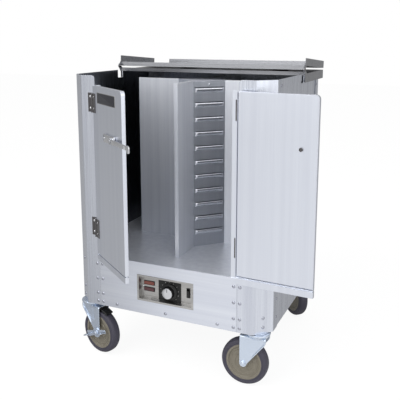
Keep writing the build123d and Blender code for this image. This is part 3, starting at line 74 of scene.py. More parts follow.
# Its nameplate: ends and edges
NAME_NEAR, NAME_FAR, NAME_LOW, NAME_HIGH = PIN_X + 45.0, PIN_X + 195.0, DOOR_TOP - 52.0, DOOR_TOP - 18.0
# Its latch: ends, half height and rivets of the base, pivot, and how high the lever lies off the door
LATCH_NEAR, LATCH_FAR, LATCH_HALF_H, LATCH_BASE_T = PIN_X + 105.0, PIN_X + 193.0, 13.0, 7.0
LATCH_RIVETS, PIVOT_X, LEVER_UP, LEVER_T = (9.0, 45.0), PIN_X + 178.0, 10.4, 4.0
# Control panel
PANEL_BACK, DIAL_FACE, PANEL_Z, PANEL_SCREWS = -278.0, -279.5, 273.0, (-88.0, 84.0)
KNOB_X, KNOB_Z, KNOB_GAP = 8.0, 269.0, 0.4
LAMPS = {"amber": 286.5, "red": 265.0}
LAMP_X, LAMP_W, LAMP_H, LAMP_FRAME, LENS_DEPTH = -66.0, 36.0, 11.0, 2.0, 22.0
# Duct, set cornerwise
DUCT_FACE, DUCT_SCREW_DOWN = 93.0 / math.sqrt(2), 12.0
LOUVRE_L, LOUVRE_H, LOUVRE_PROUD, LOUVRE_SHEET, LOUVRE_PITCH = 104.0, 15.0, 6.0, 1.2, 49.0
LOUVRE_FIRST, LOUVRE_ROWS, LOUVRE_END, ROLL_R, SLIT = 39.0, 11, 9.0, 4.0, 2.5


# ---------------------------------------------------------------- nodes
def colour(code):
    """An sRGB hex value as linear red, green, blue and alpha."""
    parts = np.array([int(code[i:i + 2], 16) for i in (1, 3, 5)]) / 255
    linear = np.where(parts <= 0.04045, parts / 12.92, ((parts + 0.055) / 1.055) ** 2.4)
    return (*linear.tolist(), 1.0)


def add(tree, kind, inputs=(), **settings):
    """Adds a node. inputs gives each socket, by name or number, a value or the socket that feeds it."""
    node = tree.nodes.new(kind)
    for name, value in settings.items():
        setattr(node, name, value)
    for name, value in dict(inputs).items():
        if isinstance(value, bpy.types.NodeSocket):
            tree.links.new(value, node.inputs[name])
        else:
            node.inputs[name].default_value = value
    return node


def noise(tree, where, scale, detail):
    """Soft noise from 0 to 1 over the coordinates where."""
    return add(tree, "ShaderNodeTexNoise", {"Vector": where, "Scale": scale, "Detail": detail}).outputs["Fac"]


def ramp(tree, value, start, end, low=0.0, high=1.0, **settings):
    """Carries value from the range start to end over to low to high, and holds it at the ends."""
    ends = {"From Min": start, "From Max": end, "To Min": low, "To Max": high}
    return add(tree, "ShaderNodeMapRange", {"Value": value, **ends}, **settings).outputs[0]


def blend(tree, share, first, second):
    """The number that lies a share of the way from first to second."""
    return add(tree, "ShaderNodeMix", {"Factor": share, 2: first, 3: second}).outputs[0]


def blend_colour(tree, share, first, second):
    """The colour that lies a share of the way from first to second."""
    return add(tree, "ShaderNodeMix", {"Factor": share, 6: first, 7: second}, data_type="RGBA").outputs[2]


def sums(tree, operation, *values):
    """One step of arithmetic on numbers or sockets."""
    return add(tree, "ShaderNodeMath", dict(enumerate(values)), operation=operation).outputs[0]


def vector_sums(tree, operation, *values):
    """One step of arithmetic on vectors or sockets."""
    node = add(tree, "ShaderNodeVectorMath", dict(enumerate(values)), operation=operation)
    return node.outputs["Value" if operation == "DOT_PRODUCT" else "Vector"]


def new_material(name):
    """A material with its node tree, its Principled shader and its Object coordinates."""
    material = bpy.data.materials.new(name)
    material.use_nodes = True
    tree = material.node_tree
    return material, tree, tree.nodes["Principled BSDF"], add(tree, "ShaderNodeTexCoord").outputs["Object"]


# ---------------------------------------------------------------- finishes
# Grain of a finish in mm along X, Y and Z. Streaks are drawn ten times as coarse as the real grain, so that
# they show, and BAND is how many times as large the bands are. Then the depth of the grain and the sizes of
# handling marks and of duller patches.
UPRIGHT, LENGTHWISE, BAND = (1.6, 1.6, 160), (160, 1.6, 1.6), 11.0
MOTTLE, SPANGLE = (110, 110, 110), (14, 14, 14)
GRAIN_DEPTH, MARK_SIZE, PATCH_SIZE = 0.02, 140.0, 60.0
finishes = {}


def sheet_metal(name, base, shade, roughness, grain_mm, soil=0.05, edge_mm=0.8, bright=1.0, inside=None):
    """Rolled sheet with a satin grain: fine streaks in roughness and tone, soft handling marks, eased edges.

    grain_mm is the size of a streak along X, Y and Z. Wider bands, BAND times as large, run the same way.
    bright is how far the surface is bare metal rather than dull oxide. inside is a darker tone painted on
    faces that look at the cabinet's middle, as painted shade for the dim inside of the cabinet.
    """
    finishes[name], tree, shader, place_in = new_material(name)
    per_metre = [1 / (size * MM) for size in grain_mm]
    streaks = add(tree, "ShaderNodeMapping", {"Vector": place_in, "Scale": per_metre}).outputs[0]
    grain = noise(tree, streaks, 1.0, 3.0)
    bands = noise(tree, streaks, 1 / BAND, 2.0)
    marks = noise(tree, place_in, 1 / (MARK_SIZE * MM), 4.0)
    share = ramp(tree, blend(tree, 0.6, grain, bands), 0.35, 0.65)
    tone = blend_colour(tree, share, colour(shade), colour(base))
    # Painted shade: faces that look at the cabinet's middle are tinted towards the darker inside tone.
    if inside:
        surface = add(tree, "ShaderNodeNewGeometry")
        inwards = vector_sums(tree, "SUBTRACT", (CABINET_MIDDLE * MM).tolist(), surface.outputs["Position"])
        level = vector_sums(tree, "MULTIPLY", inwards, (1, 1, 0))
        facing = vector_sums(tree, "DOT_PRODUCT", level, surface.outputs["Normal"])
        tone = blend_colour(tree, ramp(tree, facing, 0.05, 0.1), tone, colour(inside))
    tree.links.new(tone, shader.inputs["Base Color"])
    fine = ramp(tree, grain, 0.3, 0.7, roughness - 0.05, roughness + 0.05)
    broad = sums(tree, "MULTIPLY_ADD", marks, soil, -soil / 2)
    tree.links.new(sums(tree, "ADD", fine, broad), shader.inputs["Roughness"])
    edge = add(tree, "ShaderNodeBevel", {"Radius": edge_mm * MM}, samples=4).outputs[0]
    bump = add(tree, "ShaderNodeBump", {"Height": grain, "Normal": edge, "Distance": GRAIN_DEPTH * MM,
                                        "Strength": 0.35})
    tree.links.new(bump.outputs[0], shader.inputs["Normal"])
    shader.inputs["Metallic"].default_value = bright


def moulded(name, base, roughness, grain_mm, depth_mm, coat=0.0):
    """Moulded plastic or rubber: a fine pebble from the mould, and slightly duller patches."""
    finishes[name], tree, shader, place_in = new_material(name)
    pebble = noise(tree, place_in, 1 / (grain_mm * MM), 2.0)
    patch = noise(tree, place_in, 1 / (PATCH_SIZE * MM), 3.0)
    value = ramp(tree, patch, 0, 1, 0.88, 1.12)
    shade = add(tree, "ShaderNodeHueSaturation", {"Color": colour(base), "Value": value})
    tree.links.new(shade.outputs[0], shader.inputs["Base Color"])
    rough = ramp(tree, patch, 0, 1, roughness - 0.08, roughness + 0.08)
    tree.links.new(rough, shader.inputs["Roughness"])
    bump = add(tree, "ShaderNodeBump", {"Height": pebble, "Distance": depth_mm * MM, "Strength": 0.7})
    tree.links.new(bump.outputs[0], shader.inputs["Normal"])
    shader.inputs["IOR"].default_value = 1.5
    shader.inputs["Coat Weight"].default_value = coat


# Satin rolled aluminium: a broad soft gloss that takes its shade from the room.
sheet_metal("satin_aluminium", "#dfe3ec", "#d8dce6", 0.34, UPRIGHT)
sheet_metal("satin_aluminium_lengthwise", "#e2e6ef", "#d8dce7", 0.34, LENGTHWISE)
# Cabinet sheet: the same outside; faces that look at the cabinet's middle get a darker tone as painted shade.
sheet_metal("cabinet_aluminium", "#e0e4ed", "#cbcfda", 0.3, UPRIGHT, inside="#7d8087")
# Duct as rolled: a grey oxide that scatters some of the light.
sheet_metal("mill_aluminium", "#c4c8d1", "#b8bdc7", 0.36, UPRIGHT, soil=0.1, bright=0.62)
# Dividers and deck: paler, and duller still.
sheet_metal("divider_aluminium", "#eaedf3", "#dde0e8", 0.36, UPRIGHT, soil=0.1, bright=0.5)
# Pressed louvres: the duct's own sheet with a sharper gloss, and a paler tone than the duct sheet as a
# painted highlight.
sheet_metal("pressed_aluminium", "#e4e6ec", "#d8dbe2", 0.22, LENGTHWISE, bright=0.85)
# Cover sheet: a darker grey.
sheet_metal("cover_aluminium", "#9c9da1", "#8d8e92", 0.28, LENGTHWISE, soil=0.1)
# Bright zinc plate on pressed steel: bluish, with a soft mottle.
sheet_metal("zinc_plate", "#d0dae8", "#c9d3e3", 0.25, MOTTLE, soil=0.04, edge_mm=1.0, bright=0.9)
# Chrome on latch, screws and the knob's cap: near mirror.
sheet_metal("chrome", "#d6d7da", "#cbccd0", 0.1, UPRIGHT, soil=0.04, edge_mm=0.6)
# Hinge leaves: dull nickel, darker than the sheet they are screwed to.
sheet_metal("hinge_nickel", "#6f6d6e", "#5b595b", 0.2, UPRIGHT, soil=0.1, edge_mm=0.6)
# Rivet heads: burnished, darker than the sheet round them.
sheet_metal("rivet_metal", "#b4b6c0", "#a4a6b0", 0.12, UPRIGHT)
# Galvanised sheet inside: a dull grey with a small spangle.
sheet_metal("galvanised", "#b9bec4", "#a5abb2", 0.45, SPANGLE, soil=0.15)
# Stainless trim: a warmer, even grey.
sheet_metal("stainless", "#bdbcba", "#a9a8a7", 0.3, LENGTHWISE)
# Soft wheel rubber: dark bluish grey, slightly dusty.
moulded("wheel_rubber", "#3f3d4a", 0.55, 1.2, 0.05)
# Wheel centres: a dull brownish grey nylon.
moulded("wheel_nylon", "#7d776a", 0.5, 1.5, 0.04)
# Black mouldings, such as knob and switch: deep black with a soft gloss.
moulded("black_abs", "#0c0c0e", 0.42, 0.8, 0.03)
# Dial: flat black, with pale printed ticks.
moulded("dial_print", "#060607", 0.5, 0.8, 0.01)
moulded("tick_print", "#c9c9c6", 0.5, 0.8, 0.01)
# Nameplate: dark bluish enamel.
moulded("nameplate_enamel", "#25262c", 0.45, 0.8, 0.01)
# Motor: dark paint with a coarser pebble.
moulded("motor_paint", "#2a2c2e", 0.45, 2.0, 0.04)
# Lamp lenses, unlit: deep tints under a clear gloss.
moulded("amber_lens", "#7e3627", 0.25, 2.0, 0.02, coat=0.6)
moulded("red_lens", "#4c1820", 0.25, 2.0, 0.02, coat=0.6)

# Nodes with a finish of their own; the others take that of their kind.
OWN_FINISH = {
    "duct_cap": "satin_aluminium_lengthwise", "base_front_panel": "satin_aluminium_lengthwise",
    "rear_cover": "cover_aluminium", "front_cover": "cover_aluminium", "air_duct": "mill_aluminium",
    "divider_fins": "divider_aluminium", "deck": "divider_aluminium", "bottom_pan": "galvanised",
    "blower_housing": "galvanised", "fan_wheel": "galvanised", "heater_element": "galvanised",
    "strike_stud": "hinge_nickel", "control_bezel": "stainless", "control_knob": "black_abs",
    "switch_body": "black_abs", "switch_rocker": "black_abs", "power_inlet": "black_abs",
    "thermostat": "black_abs", "dial_plate": "dial_print", "nameplate": "nameplate_enamel",
    "pilot_lamps": "amber_lens", "blower_motor": "motor_paint",
}


def finish_of(node):
    """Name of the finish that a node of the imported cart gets: its own, or that of its kind."""
    if node in OWN_FINISH:
        return OWN_FINISH[node]
    if node.startswith("caster_tyre"):
        return "wheel_rubber"
    if node.startswith("caster_hub"):
        return "wheel_nylon"
    if node.startswith(("caster_", "brake_pedal")):
        return "zinc_plate"
    if node.startswith("brake_shoe"):
        return "black_abs"
    if node.endswith("hinge_leaves"):
        return "hinge_nickel"
    if "_post_" in node or node.endswith("_wall"):
        return "cabinet_aluminium"
    return "satin_aluminium"


for node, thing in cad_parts.items():
    thing.data.materials.clear()
    thing.data.materials.append(finishes[finish_of(node)])


# ---------------------------------------------------------------- surfaces
def place(x, y, z):
    """A shift, as a 4 x 4 matrix."""
    return np.array(Matrix.Translation((x, y, z)))


def turn(axis, degrees):
    """A turn about an axis through the origin, as a 4 x 4 matrix."""
    return np.array(Matrix.Rotation(math.radians(degrees), 4, axis))


OUT_FRONT = turn("X", 90)     # takes a shape built on the floor plan, with its height up, to face the front


def moved(shape, matrix):
    """The shape carried by a placement: each point is turned, then shifted."""
    points, faces = shape
    return points @ matrix[:3, :3].T + matrix[:3, 3], faces


def skin(rings, closed=False):
    """A closed skin over rings of points, one ring after another.

    Quads join each ring to the next, and the last to the first where closed; otherwise a flat face ends it.
    The volume inside, the sum of a . (b x c) over its triangles, has the sign that says which way the faces
    turn.
    """
    count, around = rings.shape[:2]
    row = np.arange(count if closed else count - 1)[:, None] * around
    above = (row + around) % (count * around)
    here = np.arange(around)
    on = (here + 1) % around
    faces = [np.stack([row + here, row + on, above + on, above + here], -1).reshape(-1, 4)]
    if not closed:
        faces += [here[None, ::-1], here[None] + (count - 1) * around]
    points = rings.reshape(-1, 3)
    volume = sum(np.sum(points[block[:, :1]] * np.cross(points[block[:, 1:-1]], points[block[:, 2:]]))
                 for block in faces)
    return points, [block[:, ::-1] for block in faces] if volume < 0 else faces


def rounded(corners, radius, steps=5):
    """A closed outline with its corners rounded.

    An arc touches both sides at radius / tan(half the corner's angle) from the corner, and its points turn
    evenly about its centre, which lies radius / sin(half the angle) along the bisector.
    """
    corners = np.asarray(corners, float)
    radius = np.broadcast_to(np.asarray(radius, float), len(corners))[:, None]
    back, ahead = np.roll(corners, 1, 0) - corners, np.roll(corners, -1, 0) - corners
    back /= np.linalg.norm(back, axis=1, keepdims=True)
    ahead /= np.linalg.norm(ahead, axis=1, keepdims=True)
    half = np.arccos(np.clip((back * ahead).sum(1, keepdims=True), -1, 1)) / 2
    middle = (back + ahead) / np.linalg.norm(back + ahead, axis=1, keepdims=True)
    centre = corners + middle * radius / np.sin(half)
    start, end = ((corners + way * radius / np.tan(half) - centre)[:, None] for way in (back, ahead))
    swing = (math.pi - 2 * half)[:, None]
    share = np.linspace(0, 1, steps)[None, :, None]
    arcs = (np.sin((1 - share) * swing) * start + np.sin(share * swing) * end) / np.sin(swing)
    return (centre[:, None] + arcs).reshape(-1, 2)


def eased(thickness, edge, up=0.0):
    """Insets and heights of a plate that starts at up and has its edges rounded over by edge."""
    return [(inset, up + height) for inset, height in
            [(edge, 0), (0.3 * edge, 0.3 * edge), (0, edge),
             (0, thickness - edge), (0.3 * edge, thickness - 0.3 * edge), (edge, thickness)]]


def plate(outline, levels, closed=False):
    """A plate on an anticlockwise outline: one ring for each inset and height in levels.

    An inset moves each point inwards along its corner's bisector, so that both its sides come in by that
    much.
    """
    side = np.roll(outline, -1, 0) - outline
    side = side / np.linalg.norm(side, axis=1, keepdims=True)
    inward = np.stack([-side[:, 1], side[:, 0]], 1)
    before = np.roll(inward, 1, 0)
    bisector = (inward + before) / (1 + (inward * before).sum(1, keepdims=True))
    rings = [np.column_stack([outline + inset * bisector, np.full(len(outline), float(height))])
             for inset, height in levels]
    return skin(np.array(rings), closed)


def slab(x0, x1, y0, y1, radius):
    """A rounded rectangle's outline."""
    return rounded([(x0, y0), (x1, y0), (x1, y1), (x0, y1)], radius)


def turned(profile, around=48, closed=False, flutes=0):
    """A turned shape about Z: each radius and height of the profile swept round in even steps.

    A third number in the profile is a flute's depth: that much comes off the radius, as a cosine round the
    shape.
    """
    profile = np.asarray(profile, float)
    angle = np.arange(around) / around * TAU
    radius = profile[:, :1]
    if flutes:
        radius = radius - profile[:, 2:3] * (0.5 - 0.5 * np.cos(flutes * angle))
    radius = np.broadcast_to(radius, (len(profile), around))
    height = np.broadcast_to(profile[:, 1:2], radius.shape)
    return skin(np.stack([radius * np.cos(angle), radius * np.sin(angle), height], -1), closed)


def dome(radius, height):
    """A round head: the radius falls as a cosine while the height rises as a sine."""
    rise = np.linspace(0, 1.4, 7)
    return turned(np.stack([radius * np.cos(rise), height * np.sin(rise)], 1), around=20)


def piece(name, shapes, finish, body, slot, *nodes, keen=35):
    """Joins closed shapes into one object that rides on a body and stands for nodes.

    Faces with more than four corners are cut into triangles by their ears, which is right also where an
    outline is notched.
    """
    starts = np.cumsum([0] + [len(points) for points, _ in shapes])
    polygons = [corner for start, (_, faces) in zip(starts, shapes) for block in faces
                for corner in (block + start).tolist()]
    mesh = bpy.data.meshes.new(name)
    mesh.from_pydata((np.concatenate([points for points, _ in shapes]) + CABINET_MIDDLE) * MM, [], polygons)
    shell = bmesh.new()
    shell.from_mesh(mesh)
    many_sided = [face for face in shell.faces if len(face.verts) > 4]
    bmesh.ops.triangulate(shell, faces=many_sided, ngon_method="EAR_CLIP")
    shell.to_mesh(mesh)
    shell.free()
    mesh.polygons.foreach_set("use_smooth", np.ones(len(mesh.polygons), bool))
    mesh.set_sharp_from_angle(angle=math.radians(keen))
    mesh.materials.append(finishes[finish])
    thing = bpy.data.objects.new(name, mesh)
    bpy.context.scene.collection.objects.link(thing)
    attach(thing, body)
    if nodes:
        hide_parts(*nodes)


# ---------------------------------------------------------------- casters
def tyre():
    """Cushion tyre: a soft crown on the tread, round shoulders, and a groove where the side meets the hub."""
    side = WHEEL_W / 2
    right = [(RIM_R, side), (61.0, side), (61.6, side - 0.8), (62.8, side - 0.8), (63.4, side),
             (71.5, side), (75.6, 9.0)]
    corners = [(r, -h) for r, h in right] + [(WHEEL_R, 0.0)] + right[::-1]
    radius = [0.4, 0.3, 0.3, 0.3, 0.3, 4.0, 5.0]
    return turned(rounded(corners, radius + [40.0] + radius[::-1]), around=96, closed=True)


def hub():
    """Moulded hub: a boss, a dished web with two raised rings, and a rim lip."""
    side = WHEEL_W / 2
    right = [(5.05, 20.2), (15.0, 20.2), (18.5, 11.9), (28.0, 11.4), (29.0, 12.4), (31.0, 12.4),
             (32.0, 11.4), (41.0, 11.4), (42.0, 12.4), (44.0, 12.4), (45.0, 11.4), (48.5, 11.6),
             (52.0, side), (RIM_R, side)]
    corners = [(r, -h) for r, h in right] + right[::-1]
    radius = [0.5, 2.0, 3.0, 0.4, 0.4, 0.4, 0.4, 0.4, 0.4, 0.4, 0.4, 1.2, 1.2, 0.3]
    return turned(rounded(corners, radius + radius[::-1], steps=4), around=72, closed=True)


def fork_sheet():
    """Pressed fork: sheet bent to a U over the wheel, wide at the crown, with a round end at the axle.

    A line runs up one leg, round a bend, over the crown and down the other leg. At each of its places the
    sheet reaches from a back edge to a front edge. Its ring runs out over the outside, where a border stands
    proud along the back edge and a flat leg along the front one, and comes back over the inside. The web
    between them is pressed in by WEB_DEPTH where it is wide enough.
    """
    bend_r = 8.0
    low = WHEEL_R - LEG_END * np.cos(np.linspace(0.25, math.pi / 2, 9))
    leg = np.concatenate([low, np.linspace(WHEEL_R, CROWN_TOP - bend_r, 14)[1:]])
    bend = np.linspace(0, math.pi / 2, 8)[1:]
    across = np.concatenate([np.full(len(leg), LEG_OUTER), LEG_OUTER - bend_r + bend_r * np.cos(bend)])
    up = np.concatenate([leg, CROWN_TOP - bend_r + bend_r * np.sin(bend)])
    out_across = np.concatenate([np.ones(len(leg)), np.cos(bend)])
    out_up = np.concatenate([np.zeros(len(leg)), np.sin(bend)])
    across, out_across = (np.concatenate([line, -line[::-1]])[:, None] for line in (across, out_across))
    up, out_up = (np.concatenate([line, line[::-1]])[:, None] for line in (up, out_up))
    round_end = np.sqrt(np.maximum(LEG_END ** 2 - np.minimum(up - WHEEL_R, 0) ** 2, 0))
    rake = np.clip((up - WHEEL_R) / (RAKE_TOP - WHEEL_R), 0, 1)
    front = TRAIL + round_end
    back = TRAIL - round_end - RAKE_OUT * rake
    width = front - back
    border = np.minimum(np.array([0, 0.6, 2.0, 4.2, 6.0]), width * np.array([0, 0.1, 0.2, 0.3, 0.4]))
    step = np.minimum(np.array([28.0, 27.0, 25.0, 24.0]), width * np.array([0.55, 0.54, 0.52, 0.51]))
    deep = -WEB_DEPTH * np.clip((width - WEB_FROM) / WEB_OVER, 0, 1)
    flat = np.zeros_like(deep)
    inside = flat - LEG_T
    along = np.concatenate([back + border, front - step, (front - border[:, :3])[:, ::-1],
                            front, front - border[:, 1:2], front - step[:, 2:3], front - step[:, :1],
                            back + border[:, 1:2], back], 1)
    lift = np.concatenate([flat - 0.9, flat - 0.3, flat, flat, deep, deep, 0.85 * deep, 0.15 * deep, flat,
                           flat, flat - 0.3, flat - 0.9, inside + 0.7, inside, inside,
                           0.5 * deep - LEG_T, 0.5 * deep - LEG_T, inside + 0.7], 1)
    return skin(np.stack([along, across + out_across * lift, up + out_up * lift], -1))


def swivel_head():
    """Ball-race housing: a flared cup on the crown with a rolled edge."""
    return turned([(31.0, CROWN_LOW + 1), (33.5, CROWN_TOP + 0.6), (34.8, CROWN_TOP + 3),
                   (37.2, CROWN_TOP + 6), (38.0, CROWN_TOP + 7.2), (38.0, HEAD_TOP - 2.2),
                   (37.3, HEAD_TOP - 0.7), (35.5, HEAD_TOP)], around=72)


def axle_nut():
    """Axle end: washer, six-sided nut with eased corners, and the rounded end of the axle."""
    angle = np.arange(6) * TAU / 6
    hexagon = rounded(9.2 * np.stack([np.cos(angle), np.sin(angle)], 1), 1.5, 3)
    return [turned([(9.6, 0), (10.0, 0.4), (10.0, 1.2), (9.5, 1.6)]),
            plate(hexagon, [(0, 1.6), (0, 4.8), (1.2, 5.6)]),
            turned([(4.8, 5.0), (4.8, 6.2), (3.6, 7.0)], around=24)]


def brake_shoe():
    """Brake shoe: a rounded block carried along an arc over the tyre, ridged outside as a squared cosine."""
    inner, outer, half = WHEEL_R + 1.2, WHEEL_R + 8.2, 15.0
    section = slab(inner, outer, -half, half, 1.8)
    angle = np.radians(12.0 + np.linspace(-17, 17, 69))[:, None]
    ridge = 0.9 * np.cos(angle * 45) ** 2
    radius = section[:, 0] + ridge * (section[:, 0] - inner) / (outer - inner)
    rings = np.stack([TRAIL + radius * np.sin(angle), np.broadcast_to(section[:, 1], radius.shape),
                      WHEEL_R + radius * np.cos(angle)], -1)
    hanger = slab(TRAIL - 10, TRAIL + LEG_END, -half, half, 2.0)
    return [skin(rings), plate(hanger, [(0, WHEEL_R + outer - 2), (0, CROWN_LOW)])]


def brake_pedal():
    """Rocking brake lever: a waisted arm each way from a boss on the axle, and a foot tab at each end."""
    near, thick, reach = -LEG_OUTER - 0.3, 3.0, 48.0
    seat = place(0, near, 0) @ OUT_FRONT
    arm = rounded([(-reach, -11), (0, -7.0), (reach, -6.6), (reach, 6.6), (0, 9.5), (-reach, 11)],
                  [3.0, 60.0, 3.0, 3.0, 60.0, 3.0])
    boss = turned([(17.0, 0), (17.0, 2.3), (16.3, 3.0), (13.0, 3.0), (12.4, 2.5), (10.6, 2.5)])
    shapes = [moved(plate(arm, eased(thick, 0.7)), seat), moved(boss, seat)]
    for start in (-reach, reach - 20):
        tab = slab(start, start + 20, near - 24, near, 4.0)
        shapes.append(moved(plate(tab, eased(thick, 0.7)), place(0, 0, -thick / 2)))
    return shapes


for caster, (x, y, yaw, braked) in CASTERS.items():
    swivel = place(x, y, 0) @ turn("Z", yaw)
    axle = swivel @ place(TRAIL, 0, WHEEL_R)
    body, wheel, pedal_body = "caster_" + caster, "wheel_" + caster, "brake_pedal_" + caster
    piece("tyre_" + caster, [moved(tyre(), axle @ OUT_FRONT)], "wheel_rubber", wheel, "tyre",
          "caster_tyre_" + caster)
    piece("hub_" + caster, [moved(hub(), axle @ OUT_FRONT)], "wheel_nylon", wheel, "hub",
          "caster_hub_" + caster)
    near_nut, far_nut = LEG_OUTER + (PEDAL_ROOM if braked else NUT_GAP), LEG_OUTER + NUT_GAP
    shapes = [moved(shape, swivel) for shape in (fork_sheet(), swivel_head())]
    shapes += [moved(shape, axle @ place(0, -near_nut, 0) @ OUT_FRONT) for shape in axle_nut()]
    shapes += [moved(shape, axle @ place(0, far_nut, 0) @ turn("X", -90)) for shape in axle_nut()]
    shapes.append(moved(turned([(5.0, -near_nut), (5.0, near_nut)], around=24), axle @ turn("X", -90)))
    piece("fork_" + caster, shapes, "zinc_plate", body, "zinc", "caster_fork_" + caster)
    if braked:
        shoe = [moved(shape, swivel) for shape in brake_shoe()]
        pedal = [moved(shape, axle @ turn("Y", -PEDAL_TILT)) for shape in brake_pedal()]
        piece("shoe_" + caster, shoe, "black_abs", body, "black_plastic", "brake_shoe_" + caster)
        piece("pedal_" + caster, pedal, "zinc_plate", pedal_body, "zinc", pedal_body)


# ---------------------------------------------------------------- louvred duct
def slotted_sheet():
    """One face of the duct: sheet with a slot behind each louvre, its outside in the plane y = 0.

    The edges of the slots rule the face into cells. Each cell outside a slot has a front and a back, and a
    wall wherever the cell beside it is a slot or off the sheet.
    """
    half, top = DUCT_FACE, DIVIDER_TOP - LOUVRE_SHEET
    lip = LOUVRE_L / 2 - LOUVRE_SHEET
    roots = DIVIDER_TOP - LOUVRE_FIRST - LOUVRE_PITCH * np.arange(LOUVRE_ROWS)[::-1]
    slots = np.stack([roots + 3 * LOUVRE_SHEET, roots + LOUVRE_H + SLIT], 1).ravel()
    heights = np.concatenate([[DECK], slots, [top]])
    widths = np.array([-half, -lip, lip, half])
    whole = np.ones((len(heights) - 1, 3), bool)
    whole[1::2, 1] = False
    count = len(heights) * len(widths)
    index = np.arange(count).reshape(len(heights), len(widths))
    a, b, c, d = index[:-1, :-1], index[:-1, 1:], index[1:, 1:], index[1:, :-1]
    around = np.pad(whole, 1)
    faces = [np.stack([a, b, c, d], -1)[whole], np.stack([d, c, b, a], -1)[whole] + count]
    for start, end, beside in ((a, b, around[:-2, 1:-1]), (b, c, around[1:-1, 2:]),
                               (c, d, around[2:, 1:-1]), (d, a, around[1:-1, :-2])):
        edge = whole & ~beside
        faces.append(np.stack([end[edge], start[edge], start[edge] + count, end[edge] + count], -1))
    wide, high = np.meshgrid(widths, heights)
    front = np.stack([wide, np.zeros_like(wide), high], -1).reshape(-1, 3)
    return np.concatenate([front, front + [0, LOUVRE_SHEET, 0]]), faces


def louvre():
    """A pressed louvre: sheet that swells out from its root and rolls back to an open lip at the top.

    How far it stands out grows as a sine of the height, then follows a circle of ROLL_R back over the top.
    Towards each end it falls away as a quarter circle. Each ring runs up the outside of the sheet and down
    the inside.
    """
    over = np.linspace(0, 1.35, 6)
    rise = LOUVRE_H - ROLL_R
    slope = np.linspace(0, rise, 7)[:-1]
    swell = np.concatenate([LOUVRE_PROUD * np.sin(slope / rise * math.pi / 2),
                            LOUVRE_PROUD - ROLL_R + ROLL_R * np.cos(over)])
    high = np.concatenate([slope, rise + ROLL_R * np.sin(over)])
    along = LOUVRE_L / 2 * np.sin(np.linspace(-math.pi / 2, math.pi / 2, 31))[:, None]
    end = np.clip((LOUVRE_L / 2 - np.abs(along)) / LOUVRE_END, 0, 1)
    outside = np.sqrt(1 - (1 - end) ** 2) * swell
    out = np.concatenate([outside, np.maximum(outside - LOUVRE_SHEET, -LOUVRE_SHEET)[:, ::-1]], 1)
    high = np.concatenate([high, high[::-1] * (1 - LOUVRE_SHEET / LOUVRE_H)])
    return skin(np.stack([np.broadcast_to(along, out.shape), -out, np.broadcast_to(high, out.shape)], -1))


duct, louvres = [], []
for quarter in range(4):
    face = turn("Z", 45 + 90 * quarter) @ place(0, -DUCT_FACE, 0)
    duct.append(moved(slotted_sheet(), face))
    for louvre_row in range(LOUVRE_ROWS):
        root = DIVIDER_TOP - LOUVRE_FIRST - LOUVRE_PITCH * louvre_row
        louvres.append(moved(louvre(), face @ place(0, 0, root)))
    louvres.append(moved(dome(3.4, 1.8), face @ place(0, 0, DIVIDER_TOP - DUCT_SCREW_DOWN) @ OUT_FRONT))
piece("duct_sheet", duct, "mill_aluminium", "cabinet", "aluminium", "air_duct")
piece("duct_louvres", louvres, "pressed_aluminium", "cabinet", "aluminium", "air_duct")


# ---------------------------------------------------------------- control panel
def lens(z):
    """Ridged lens: a block whose front waves as a cosine across its width, rounded over above and below."""
    along = np.linspace(-LAMP_W / 2, LAMP_W / 2, 97)
    front = np.stack([LAMP_X + along, PANEL_BACK - 2.1 - 0.4 * np.cos(along * TAU / 3.0)], 1)
    back = np.array([(LAMP_X + side * LAMP_W / 2, PANEL_BACK + LENS_DEPTH) for side in (1, -1)])
    return moved(plate(np.concatenate([front, back]), eased(LAMP_H, 0.5)), place(0, 0, z - LAMP_H / 2))


def lamp_frame(z):
    """Raised frame round a lens."""
    half_w, half_h = LAMP_W / 2 + LAMP_FRAME, LAMP_H / 2 + LAMP_FRAME
    outline = slab(LAMP_X - half_w, LAMP_X + half_w, z - half_h, z + half_h, 2.3)
    border = [(0, 0), (0, 0.9), (0.5, 1.3), (1.9, 1.3), (1.9, 0)]
    return moved(plate(outline, border, closed=True), place(0, PANEL_BACK, 0) @ OUT_FRONT)


knob_seat = place(KNOB_X, DIAL_FACE - KNOB_GAP, KNOB_Z) @ OUT_FRONT
grip = turned([(26.5, 0, 0), (27.5, 0.8, 0), (27.5, 2.6, 0), (26.6, 3.8, 0), (24.0, 4.4, 0), (21.6, 5.0, 0.3),
               (20.6, 6.5, 1.0), (20.0, 10.0, 1.0), (19.9, 16.5, 1.0), (19.4, 18.2, 0.5), (18.6, 19.0, 0)],
              around=192, flutes=24)
cap = turned([(17.2, 18.6), (17.6, 19.0), (17.4, 19.8), (16.6, 20.3), (9.0, 20.5)])
pointer = plate(slab(-0.9, 0.9, 5.0, 16.0, 0.6), [(0, 20.0), (0, 20.55), (0.2, 20.7)])
piece("knob_grip", [moved(grip, knob_seat)], "black_abs", "knob", "black_plastic", "control_knob")
piece("knob_cap", [moved(cap, knob_seat)], "chrome", "knob", "nickel", "control_knob")
piece("knob_pointer", [moved(pointer, knob_seat)], "black_abs", "knob", "black_plastic")

dial_seat = place(KNOB_X, DIAL_FACE, KNOB_Z) @ OUT_FRONT
tick = plate(slab(-0.45, 0.45, 30.0, 33.4, 0.2), [(0, -0.1), (0, 0.15)])
ticks = [moved(tick, dial_seat @ turn("Z", degrees)) for degrees in range(-135, 136, 27)]
panel_screws = [moved(dome(3.0, 1.5), place(x, PANEL_BACK, PANEL_Z) @ OUT_FRONT) for x in PANEL_SCREWS]
piece("dial_ticks", ticks, "tick_print", "cabinet", "black_plastic")
piece("panel_screws", panel_screws, "chrome", "cabinet", "nickel")

for tint, z in LAMPS.items():
    piece("lamp_" + tint, [lens(z)], tint + "_lens", "cabinet", "lamp", "pilot_lamps")
piece("lamp_frames", [lamp_frame(z) for z in LAMPS.values()], "black_abs", "cabinet", "black_plastic")


